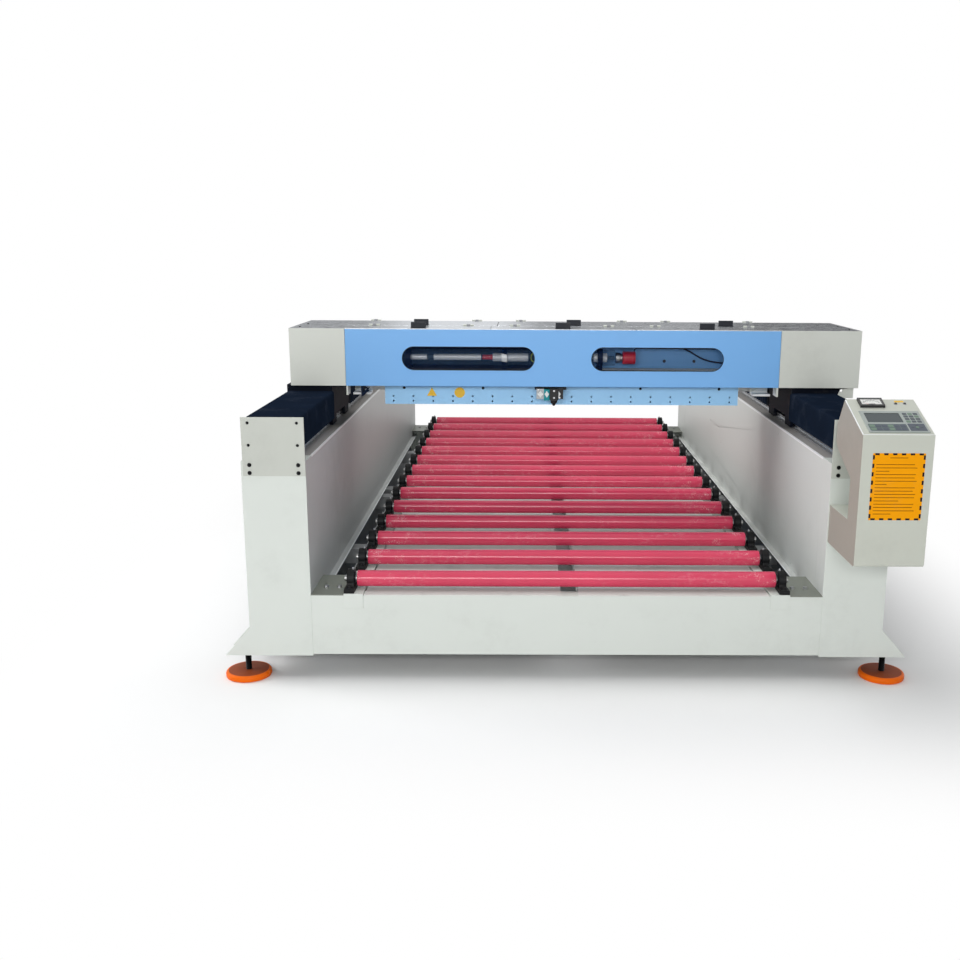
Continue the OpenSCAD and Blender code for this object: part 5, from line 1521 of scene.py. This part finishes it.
class LaserOptics(Section):
    """Laser tube, mirrors and wiring behind the windows."""

    def __init__(self, palette: Palette, layout: Layout) -> None:
        """Keeps the palette and measures the tube."""
        super().__init__(palette, layout)
        low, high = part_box("laser_tube")
        self.left, self.right = low.x, high.x
        _, self.y, self.z = middle_of("laser_tube")

    def rod(self, radius: float, start: float, stop: float, finish: int, edge: float = 1.0) -> Patch:
        """A rounded rod on the tube's axis between two values of X."""
        return revolved(rounded_profile(radius * MM, start * MM, stop * MM, edge * MM), Axis.X,
                        (0.0, self.y, self.z), 40, finish)

    def build(self) -> None:
        """Builds the tube with its electrodes and wires, and dresses the mounts."""
        # the mounts wear the navy of the shaded interior: painted shade
        mounts = self.dress("optics_mounts", "mount_navy", 0.5 * MM)
        middle = (self.left + self.right) / 2.0
        self.wear(mounts, "tube_sleeve",
                   lambda c: (np.abs(c[:, 0] - middle) < 90 * MM) & (np.abs(c[:, 2] - self.z) < 15 * MM))
        self.tube()
        self.wires()
        self.mirrors()
        self.liners()

    def liners(self) -> None:
        """Hangs a dark sheet behind the left window and two black discs standing for holes behind the right one, all
        painted shade, and a tray behind the right one.
        """
        y = self.layout.beam_face
        low, high = self.z - 66 * MM, self.z + 82 * MM
        tray_low, tray_high = self.z - 45 * MM, self.z - 43 * MM
        patches = [block((-680 * MM, y - 2.4 * MM, low), (-70 * MM, y - 0.4 * MM, high), 0.4 * MM),
                   block((150 * MM, y - 66 * MM, tray_low), (640 * MM, y - 2 * MM, tray_high), 0.4 * MM, 1)]
        for x in (391 * MM, 505 * MM):
            disc = upright(shifted(circle_outline(6 * MM, 24), x, self.z - 17 * MM))
            patches.append(prism(disc, Axis.Y, y - 1.2 * MM, y - 0.2 * MM, 0.3 * MM, 2))
        self.piece("window_liners", patches, "mount_navy cover_paint black_plastic", "gantry", "blue_paint")

    def tube(self) -> None:
        """Blows the glass: an outer jacket, a narrow bore inside it, a coiled return line and metal ends."""
        a, b = self.left / MM + 26.0, self.right / MM - 74.0
        jacket = [(9.0, a), (24.0, a + 1.0), (29.0, a + 6.0), (30.0, a + 12.0), (30.0, b - 12.0), (28.5, b - 4.0),
                  (22.0, b), (9.0, b + 1.0)]
        glass = [revolved([(r * MM, h * MM) for r, h in jacket], Axis.X, (0.0, self.y, self.z), 56)]
        bore = [(1e-3, a + 4.0), (7.5, a + 4.0), (7.5, b - 6.0), (1e-3, b - 6.0)]
        glass.append(revolved([(r * MM, h * MM) for r, h in bore], Axis.X, (0.0, self.y, self.z), 24))
        turns = np.linspace(0.0, 1.0, 260)
        angle = 2.0 * math.pi * 9.0 * turns
        wind = 18 * MM
        coil = np.stack([(20.0 + 90.0 * turns) * MM, self.y + wind * np.cos(angle), self.z + wind * np.sin(angle)], 1)
        metal = [self.rod(15.5, -264, -130, 1, 1.6), self.rod(9.5, -303, -264, 2), self.rod(11.5, -486, -308, 1),
                 self.rod(10.5, -585, -512, 1), self.rod(19, b, b + 18, 3, 2.0), self.rod(19, a - 24, a, 3, 2.0),
                 self.rod(17, 115, 168, 1, 3.0), self.rod(14, b + 18, b + 26, 3), self.rod(24, b + 26, b + 74, 2, 3.0)]
        metal.append(tube_along(coil, 2.6 * MM, 8, 0, start=(1.0, 0.0, 0.0)))
        looks = "tube_glass tube_sleeve red_plastic shaft_steel"
        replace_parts(self.piece("tube_assembly", glass + metal, looks, "gantry", "tube_glass"), "laser_tube")

    def wires(self) -> None:
        """Runs the tube's leads: black high-voltage lead, green-and-yellow earth and a black lead to the right."""
        y, z = self.y, self.z
        beam = self.layout.beam_face
        feed = smooth_path([(self.right - 6 * MM, y, z + 20 * MM), (self.right + 6 * MM, y + 16 * MM, z + 34 * MM),
                            (self.right + 60 * MM, beam - 8 * MM, z + 32 * MM),
                            (700 * MM, beam - 8 * MM, z + 30 * MM)], 60)
        lead = smooth_path([(430 * MM, beam - 7 * MM, z + 44 * MM), (480 * MM, beam - 12 * MM, z + 24 * MM),
                            (540 * MM, beam - 12 * MM, z - 8 * MM), (610 * MM, beam - 8 * MM, z - 22 * MM),
                            (740 * MM, beam - 8 * MM, z - 24 * MM)], 60)
        turn = np.linspace(0.0, 2.0 * math.pi, 30)
        ring = np.stack([-110 * MM + 9 * MM * np.cos(turn), np.full(30, y - 4 * MM), z + 16 * MM * np.sin(turn)], 1)
        patches = [tube_along(feed, 2.2 * MM, 8), tube_along(lead, 3.0 * MM, 8, 1),
                   tube_along(ring, 2.4 * MM, 8, 2, start=(0.0, 1.0, 0.0))]
        self.piece("tube_leads", patches, "belt_rubber belt_rubber earth_green", "gantry", "meter_black")

    def mirrors(self) -> None:
        """Sets a polished disc in each of the two turning mirrors' holders."""
        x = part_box("front_cover")[0].x + 68.5 * MM
        patches = []
        for z, tilt in ((self.z, -135.0), (self.layout.strip_low + 51 * MM, -45.0)):
            a = math.radians(tilt)
            turn = np.array([[math.cos(a), 0.0, math.sin(a)], [0.0, 1.0, 0.0], [-math.sin(a), 0.0, math.cos(a)]])
            disc = revolved(rounded_profile(12.5 * MM, -2.9 * MM, -2.45 * MM, 0.1 * MM), Axis.Z, ORIGIN, 40)
            patches.append(disc.turned(turn).moved((x, self.y, z)))
        self.piece("mirror_faces", patches, "shaft_steel", "gantry", "rail_steel")


class CuttingHead(Section):
    """Carriage, alignment block, mirror block and nozzle that hang under the front cover."""

    def __init__(self, palette: Palette, layout: Layout) -> None:
        """Keeps the palette and measures the head."""
        super().__init__(palette, layout)
        self.low, self.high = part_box("beam_head")

    def build(self) -> None:
        """Dresses the head's parts and adds its plates, screws and body."""
        head = self.dress("beam_head", "head_grey", 0.6 * MM)
        for name, start in (("head_teal", 27.5 * MM), ("black_anodised", 47 * MM)):
            self.wear(head, name, lambda c, x=self.low.x + start: c[:, 0] > x)
        self.dress("head_carriage", "black_anodised", 0.5 * MM)
        self.dress("lens_tube", "black_anodised", 0.4 * MM)
        self.front_body()
        self.plates()

    def front_body(self) -> None:
        """Adds the tapered black body over the nozzle tube, with two clamp screws."""
        x0, y, z0 = self.low.x + 49 * MM, self.low.y, self.low.z
        outline = np.array([[-17, 48], [-17, 6], [-11, -2], [11, -2], [17, 6], [17, 48]], float) * MM
        body = prism(upright(shifted(outline, x0 + 17 * MM, z0)), Axis.Y, y - 7 * MM, y + 0.4 * MM, 1.4 * MM)
        patches = [body]
        for dz in (12 * MM, 38 * MM):
            patches += screw((x0 + 17 * MM, y - 7 * MM, z0 + dz), Axis.Y, -1.0, 3.5 * MM, finish=1)
        patches += screw((self.high.x - 14 * MM, y, z0 + 12 * MM), Axis.Y, -1.0, 4 * MM, finish=1)
        patches += screw((self.low.x + 8 * MM, y, self.high.z - 8 * MM), Axis.Y, -1.0, 3 * MM, finish=1)
        self.piece("head_front_body", patches, "black_anodised bright_screw", "head", "head_grey")

    def plates(self) -> None:
        """Fixes a blank white diamond plate to each block's front face."""
        y, z = self.low.y, self.low.z + 25 * MM
        diamond = np.array([[11, 0], [0, 13], [-11, 0], [0, -13]], float) * MM
        patches = []
        for x, half, depth in ((14.5 * MM, 1.0, 0.0), (39 * MM, 0.8, -3.0), (83 * MM, 0.8, 0.0)):
            outline = shifted(diamond * np.array([half, 1.0]), self.low.x + x, z)
            patches.append(prism(upright(outline), Axis.Y, y - 0.8 * MM, y + (depth + 3.2) * MM, 0.2 * MM))
        self.piece("head_plates", patches, "white_plastic", "head", "head_grey")


class Drives(Section):
    """Motors, racks, belt and pulleys."""

    def build(self) -> None:
        """Dresses the drives and adds the belt's teeth and the motors' bolts."""
        self.dress("drive_motors", "black_plastic", 1.0 * MM)
        self.dress("x_rail", "rail_steel", 0.3 * MM)
        self.dress("x_belt", "belt_rubber")
        for node in ("pinion_left", "pinion_right"):
            self.dress(node, "rack_steel")
        for node in ("x_drive_pulley", "x_idler_pulley"):
            self.dress(node, "shaft_steel", 0.2 * MM)
        self.motor_bolts()
        self.belt_teeth()

    def motor_bolts(self) -> None:
        """Bolts each gantry motor's flange down at its four corners."""
        x, y, _ = middle_of("pinion_right")
        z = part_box("drive_motors")[0].z + 8 * MM
        patches = []
        for dx in (-25 * MM, 25 * MM):
            for dy in (-25 * MM, 25 * MM):
                patches += both_sides(screw((x + dx, y + dy, z), Axis.Z, 1.0, 4 * MM))
        self.piece("motor_bolts", patches, "bright_screw", "gantry", "rail_steel")

    def belt_teeth(self) -> None:
        """Sets a low rounded tooth every 5 mm along the inside of the belt's two straight runs."""
        low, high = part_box("x_belt")
        reach, pitch = high.x - 20 * MM, 5 * MM
        count = int(2 * reach / pitch)
        section = np.array([[-1.2, 0.0], [-0.6, 0.7], [0.6, 0.7], [1.2, 0.0]]) * MM
        x = (np.arange(count) - count / 2.0)[:, None, None] * pitch + section[None, :, None, 0]
        patches = []
        for face, inwards in ((low.y + 1.5 * MM, 1.0), (high.y - 1.5 * MM, -1.0)):
            points = np.zeros((count, 4, 2, 3))
            points[..., 0] = x
            points[..., 1] = face + inwards * section[None, :, None, 1]
            points[..., 2] = np.array([low.z + 0.5 * MM, high.z - 0.5 * MM])
            k = np.arange(count)[:, None] * 8
            quads = np.array([[0, 2, 3, 1], [2, 4, 5, 3], [4, 6, 7, 5], [0, 6, 4, 2], [1, 3, 5, 7]])
            faces = (k[:, :, None] + quads[None]).reshape(-1, 4)
            patches.append(Patch(points.reshape(-1, 3), faces if inwards > 0 else faces[:, ::-1]))
        self.piece("belt_teeth", patches, "belt_rubber", "gantry", "belt_rubber")


# ------------------------------------------------------------------- cabinet


class Cabinet(Section):
    """Control cabinet on the right leg, with its notice card, control unit and meter."""

    RISE, DEPTH = 77.0, 198.0
    TILT = math.atan(RISE / DEPTH)
    UNIT_AT, METER_AT, LABEL_AT = (21.0, 12.0), (40.0, 168.0), (148.0, 194.0)
    BUTTONS_X, BUTTONS_Y = (148.0, 176.0), 184.0

    def __init__(self, palette: Palette, layout: Layout) -> None:
        """Keeps the palette and measures the cabinet."""
        super().__init__(palette, layout)
        self.low, self.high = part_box("cabinet_shell")
        self.corner = np.array([self.low.x, self.low.y, self.high.z - self.RISE * MM])

    def on_panel(self, patches: Iterable[Patch]) -> list[Patch]:
        """Lays patches drawn in millimetres across, up and out of the sloped panel onto it."""
        c, s = math.cos(self.TILT), math.sin(self.TILT)
        turn = np.array([[1.0, 0.0, 0.0], [0.0, c, -s], [0.0, s, c]]) * MM
        return [p.turned(turn).moved(self.corner) for p in patches]

    def plate(self, x: float, y: float, width: float, height: float, low: float, high: float, radius: float,
              finish: int, edge: float = 0.3) -> Patch:
        """A rounded plate in panel millimetres, from its lower left corner."""
        outline = shifted(rounded_rectangle(width, height, radius), x + width / 2.0, y + height / 2.0)
        return prism(outline, Axis.Z, low, high, edge, finish)

    def build(self) -> None:
        """Dresses the cabinet's parts and builds what is on its two faces."""
        shell = self.dress("cabinet_shell", "cabinet_paint", 1.2 * MM)
        # the left side face wears a darker copy of the paint: painted shade
        self.wear(shell, "cabinet_side_shaded", lambda c: c[:, 0] < self.low.x + 0.3 * MM)
        self.dress("control_panel", "film_grey", 0.5 * MM)
        self.folded_edge()
        self.dress("ammeter", "black_plastic", 0.7 * MM)
        for node in ("button_left", "button_right"):
            self.dress(node, "black_plastic", 0.4 * MM)
        self.notice()
        self.control_unit()
        self.meter()
        self.small_parts()

    def folded_edge(self) -> None:
        """Lays a near-white bead of painted highlight along the front and the left of the sloped panel, where the sheet
        folds.
        """
        wide, long = (self.high.x - self.low.x) / MM, math.hypot(self.DEPTH, self.RISE)
        runs = (np.linspace([0.9, long - 4.0, -1.0], [0.9, 2.0, -1.0], 6),
                np.linspace([1.5, 2.2, -1.0], [wide - 1.5, 2.2, -1.0], 6))
        patches = [tube_along(run, 1.7, 10) for run in runs]
        self.piece("panel_fold_highlight", self.on_panel(patches), "highlight_white", "frame", "cabinet_paint")

    def notice(self) -> None:
        """A blank amber card with a plain border and ruled lines on the front face."""
        y = self.low.y
        x0, x1, z0, z1 = self.low.x + 33 * MM, self.low.x + 189 * MM, self.low.z + 146 * MM, self.low.z + 349 * MM
        wide, high = (x1 - x0), (z1 - z0)
        middle = ((x0 + x1) / 2.0, (z0 + z1) / 2.0)
        card = prism(upright(shifted(rounded_rectangle(wide, high, 2 * MM), *middle)), Axis.Y, -0.12 * MM, 0.0,
                     0.0)
        patches = [card]
        for across, up in self.border_dashes(wide, high):
            (xa, xb), (za, zb) = ((m - half + off, m + half + off) for m, half, off in zip(middle, across, up))
            patches.append(block((xa, -0.2 * MM, za), (xb, -0.05 * MM, zb), 0.03 * MM, 1))
        shares = (0.4, 0.0, 0.86, 0.92, 0.3, 0.9, 0.88, 0.93, 0.26, 0.9, 0.86, 0.92, 0.9, 0.55, 0.9, 0.87, 0.92, 0.4)
        for k, share in enumerate(shares):
            if share > 0.0:
                z = z1 - (15 + 10 * k) * MM
                length = share * (wide - 24 * MM)
                left = x0 + 12 * MM if k > 0 else middle[0] - length / 2.0
                patches.append(block((left, -0.2 * MM, z), (left + length, -0.05 * MM, z + 1.9 * MM), 0.03 * MM, 2))
        patches = [p.moved((0.0, y, 0.0)) for p in patches]
        self.piece("notice_card", patches, "amber_card amber_border amber_ink", "frame", "cabinet_paint")

    @staticmethod
    def border_dashes(wide: float, high: float) -> list[tuple[tuple[float, float], tuple[float, float]]]:
        """Dashes round a card: the half size of each and its offset from the card's middle.

        Args:
            wide: width of the card.
            high: height of the card.

        Returns:
            Pairs of half size and offset, evenly spaced along each side.
        """
        dash, line, gap = 6.5 * MM, 2.9 * MM, 3.1 * MM
        dashes = []
        for length, along in ((wide, 0), (high, 1)):
            count = round(length / (4 * dash))
            places = (np.arange(count) - (count - 1) / 2.0) * length / count
            for end in (-1.0, 1.0):
                edge = end * ((high, wide)[along] / 2.0 - gap)
                for at in places:
                    half, offset = (dash, line), (float(at), edge)
                    dashes.append((half, offset) if along == 0 else (half[::-1], offset[::-1]))
        return dashes

    def control_unit(self) -> None:
        """Film overlay, display and membrane keys of the control unit."""
        x0, y0 = self.UNIT_AT
        outer = shifted(rounded_rectangle(176, 120, 5), x0 + 90, y0 + 62)
        inner = shifted(rounded_rectangle(106, 56, 2), x0 + 64, y0 + 83)
        patches = [frame_outline_patch(outer, inner, Axis.Z, 3.0, 3.5, 0)]
        patches.append(self.plate(x0 + 11, y0 + 55, 106, 56, 1.6, 2.2, 1.0, 1, 0.1))
        patches.append(self.plate(x0 + 6, y0 + 6, 114, 40, 3.45, 3.7, 3.0, 2, 0.1))
        patches.append(self.plate(x0 + 124, y0 + 6, 50, 42, 3.45, 3.7, 3.0, 3, 0.1))
        for row in range(4):
            for column in range(3):
                x, y = x0 + 126 + 16.2 * column, y0 + 54 + 15 * row
                patches.append(self.plate(x, y, 13.4, 11.4, 3.45, 4.3, 2.0, 4 if (row + column) % 4 else 5, 0.4))
        for row in range(2):
            for column in range(6):
                x, y = x0 + 9 + 18.4 * column, y0 + 9 + 18 * row
                patches.append(self.plate(x, y, 15.4, 14, 3.65, 4.5, 2.2, 3 if column % 3 else 5, 0.4))
        for turn in range(4):
            angle = turn * math.pi / 2.0
            middle = np.array([x0 + 149 + 13 * math.cos(angle), y0 + 27 + 12 * math.sin(angle)])
            corners = np.array([angle, angle + 2.2, angle - 2.2])
            arrow = middle + 5.2 * np.stack([np.cos(corners), np.sin(corners)], 1)
            patches.append(prism(arrow, Axis.Z, 3.65, 4.4, 0.3, 4))
        patches.append(self.plate(x0 + 144, y0 + 22, 10, 10, 3.65, 4.4, 4.5, 6, 0.3))
        looks = "film_grey screen film_dark key_blue key_pale key_green key_green"
        self.piece("control_keys", self.on_panel(patches), looks, "frame", "panel_blue")

    def meter(self) -> None:
        """Dial, scale, needle, front glass and zero screw of the ammeter."""
        (x0, y0), wide, high = self.METER_AT, 63.0, 35.0
        patches = [self.plate(x0 + 0.2, y0 + 0.2, wide - 0.4, high - 0.4, 5.0, 5.3, 0.5, 0, 0.05)]
        centre = np.array([x0 + wide / 2.0, y0 - 6.0])
        for k in range(31):
            a = math.radians(140.0 - 100.0 * k / 30.0)
            long = 5.5 if k % 5 == 0 else 3.0
            way = np.array([math.cos(a), math.sin(a)])
            across = np.array([-way[1], way[0]]) * (0.35 if k % 5 == 0 else 0.2)
            a0, a1 = centre + way * (34.0 - long), centre + way * 34.0
            patches.append(prism(np.array([a0 - across, a1 - across, a1 + across, a0 + across]), Axis.Z, 5.25, 5.45,
                                 0.0, 1))
        arc = np.radians(np.linspace(140.0, 40.0, 25))
        line = np.stack([centre[0] + 34.6 * np.cos(arc), centre[1] + 34.6 * np.sin(arc), np.full(25, 5.4)], 1)
        patches.append(tube_along(line, 0.3, 6, 1))
        tip = centre + 31.0 * np.array([math.cos(2.4), math.sin(2.4)])
        start = centre + 8.0 * np.array([math.cos(2.4), math.sin(2.4)])
        needle = np.array([[start[0], start[1], 5.9], [tip[0], tip[1], 5.9]])
        patches.append(tube_along(smooth_path(needle, 6), np.linspace(0.5, 0.2, 6), 6, 2))
        patches.append(self.plate(x0 + 22, y0 - 0.1, 19, 6.5, 5.3, 6.6, 1.2, 3))
        patches.append(self.plate(x0 - 0.2, y0 - 0.2, wide + 0.4, high + 0.4, 7.2, 7.7, 0.5, 4, 0.1))
        patches.append(revolved([(1e-3, 7.9), (2.6, 7.9), (2.8, 8.4), (2.2, 8.9), (1e-3, 9.0)], Axis.Z,
                                (x0 + wide / 2.0, y0 - 4.0, 0.0), 20, 3))
        looks = "dial_white ink red_plastic black_plastic dial_glass"
        self.piece("meter_face", self.on_panel(patches), looks, "frame", "meter_black")

    def small_parts(self) -> None:
        """Blank label over the two buttons, their collars and the control unit's screws."""
        patches = [self.plate(*self.LABEL_AT, 28, 9, 0.0, 0.5, 1.5, 0, 0.1)]
        collar = [(4.6, 0.0), (6.6, 0.0), (6.6, 0.8), (5.8, 1.3), (4.6, 1.3)]
        patches += [revolved(collar, Axis.Z, (x, self.BUTTONS_Y, 0.0), 28, 1) for x in self.BUTTONS_X]
        cup = [(1e-3, 3.0), (2.0, 3.0), (2.0, 4.0), (1.2, 4.3), (1e-3, 4.3)]
        x0, y0 = self.UNIT_AT
        patches += [revolved(cup, Axis.Z, (x0 + x, y0 + y, 0.0), 16, 2) for x in (4.2, 175.8) for y in (3.2, 120.8)]
        looks = "yellow_film bright_screw bright_screw"
        self.piece("panel_fittings", self.on_panel(patches), looks, "frame", "meter_black")


# -------------------------------------------------------------------- studio


@dataclass(frozen=True)
class Lamp:
    """A soft rectangular light.

    Attributes:
        name: name of the light.
        place: where it hangs.
        target: what it points at.
        size: width and height.
        power: watts.
        mirrored: whether reflections show it.
    """

    name: str
    place: tuple[float, float, float]
    target: tuple[float, float, float]
    size: tuple[float, float]
    power: float
    mirrored: bool = True


class Studio(Section):
    """Pale floor, soft lights, white surroundings and the camera."""

    CAMERA_X, CAMERA_BACK, CAMERA_Z = -0.1437, 3.2924, 1.4101
    CAMERA_TURNS = (12.5, -0.45, -0.35)
    LENS, SENSOR, SHIFT = 39.375, 36.0, -0.0543
    SOFT_LIGHT = 0.32
    LAMPS = (
        Lamp("top", (-0.6, -0.4, 4.6), (0.0, 0.1, 0.3), (4.2, 4.6), 112.0, False),
        Lamp("front", (-0.2, -6.4, 2.0), (0.0, -0.6, 0.7), (5.0, 2.4), 16.0),
        Lamp("strip", (-0.9, -6.2, 2.15), (-0.3, -0.6, 0.4), (3.6, 0.8), 104.0),
        Lamp("right", (4.4, 1.4, 2.8), (-0.8, 0.8, 0.5), (2.4, 2.4), 20.0),
        Lamp("left", (-4.6, -0.6, 2.8), (0.8, 0.3, 0.5), (2.4, 2.4), 104.0),
    )

    def build(self) -> None:
        """Sets the floor, the lights, the surroundings and the camera."""
        scene = bpy.context.scene
        scene.view_settings.view_transform = "Standard"
        self.floor()
        self.reflection_card()
        self.surroundings()
        for lamp in self.LAMPS:
            self.light(lamp)
        self.camera()

    def floor(self) -> None:
        """Lays a pale floor that keeps the machine's soft shadow."""
        n = 41
        x, y = np.meshgrid(np.linspace(-30.0, 30.0, n), np.linspace(-20.0, 60.0, n), indexing="ij")
        points = np.stack([x, y, np.zeros_like(x)], 2).reshape(-1, 3)
        floor = sheet_mesh("floor", points, grid_faces(n, n)[:, ::-1], self.palette["studio_floor"])

    def reflection_card(self) -> None:
        """Stands a toned card behind the machine that only reflections see, so that glossy tops keep their shading.

        Seen from the front it runs from mid grey over a white band to mid and dark grey at the right.
        """
        material = bpy.data.materials.new("reflection_card")
        material.use_nodes = True
        g = Graph(material.node_tree)
        x = g.add("SeparateXYZ", Vector=g.add("TexCoord").outputs["Object"]).outputs["X"]
        tone = g.spread(x, -2.3, -1.5, 0.3, 1.0)
        for start, stop, drop in ((-0.5, 0.1, 0.68), (2.2, 2.7, 0.26)):
            tone = g.math("SUBTRACT", tone, g.spread(x, start, stop, 0.0, drop))
        glow = g.add("Emission", Color=(0.96, 0.98, 1.0, 1.0), Strength=tone)
        g.add("OutputMaterial", Surface=glow.outputs[0])
        corners = np.array([(-9.0, 9.0, 0.0), (9.0, 9.0, 0.0), (9.0, 9.0, 4.5), (-9.0, 9.0, 4.5)])
        card = sheet_mesh("reflection_card", corners, np.array([(0, 1, 2, 3)]), material)
        for ray in ("camera", "diffuse", "transmission", "shadow", "volume_scatter"):
            setattr(card, "visible_" + ray, False)

    def surroundings(self) -> None:
        """White to the camera, to reflections and through glass, and a dim soft grey as a light."""
        world = bpy.data.worlds.new("studio")
        bpy.context.scene.world = world
        world.use_nodes = True
        g = Graph(world.node_tree)
        seen = g.seen()
        soft = g.add("Background", Color=(0.92, 0.94, 0.96, 1.0), Strength=self.SOFT_LIGHT)
        white = g.add("Background", Color=(1.0, 1.0, 1.0, 1.0), Strength=1.0)
        mixed = g.add("MixShader", i0=seen, i1=soft.outputs[0], i2=white.outputs[0])
        g.add("OutputWorld", Surface=mixed.outputs[0])

    @staticmethod
    def light(lamp: Lamp) -> None:
        """Hangs one area light."""
        data = bpy.data.lights.new(lamp.name, "AREA")
        data.shape = "RECTANGLE"
        data.size, data.size_y = lamp.size
        data.energy = lamp.power
        thing = placed(lamp.name, data)
        way = Vector(lamp.target) - Vector(lamp.place)
        thing.location = lamp.place
        thing.visible_glossy = lamp.mirrored
        thing.rotation_euler = way.to_track_quat("-Z", "Y").to_euler()

    def camera(self) -> None:
        """Stands the camera to the left of the middle, looking slightly down along the bed."""
        pitch, yaw, roll = (math.radians(a) for a in self.CAMERA_TURNS)
        forward = np.array([-math.sin(yaw) * math.cos(pitch), math.cos(yaw) * math.cos(pitch), -math.sin(pitch)])
        level = np.array([math.cos(yaw), math.sin(yaw), 0.0])
        down = np.cross(forward, level)
        right = math.cos(roll) * level + math.sin(roll) * down
        down = -math.sin(roll) * level + math.cos(roll) * down
        data = bpy.data.cameras.new("camera")
        data.lens, data.sensor_width, data.shift_x = self.LENS, self.SENSOR, self.SHIFT
        data.clip_end = 200.0
        camera = placed("camera", data)
        place = (self.CAMERA_X, self.layout.front - self.CAMERA_BACK, self.CAMERA_Z)
        camera.matrix_world = Matrix(
            [[right[k], -down[k], -forward[k], place[k]] for k in range(3)] + [[0.0, 0.0, 0.0, 1.0]])
        bpy.context.scene.camera = camera


def main() -> None:
    """Builds the looks of the whole machine."""
    logging.basicConfig(level=logging.INFO, format="%(name)s: %(message)s")
    palette, layout = Palette(), Layout.read()
    kinds = (Frame, RollerBed, Bellows, GantryCovers, LaserOptics, CuttingHead, Drives, Cabinet, Studio)
    for part in [kind(palette, layout) for kind in kinds]:
        log.info("building %s", type(part).__name__)
        part.build()


if __name__ == "__main__":
    main()
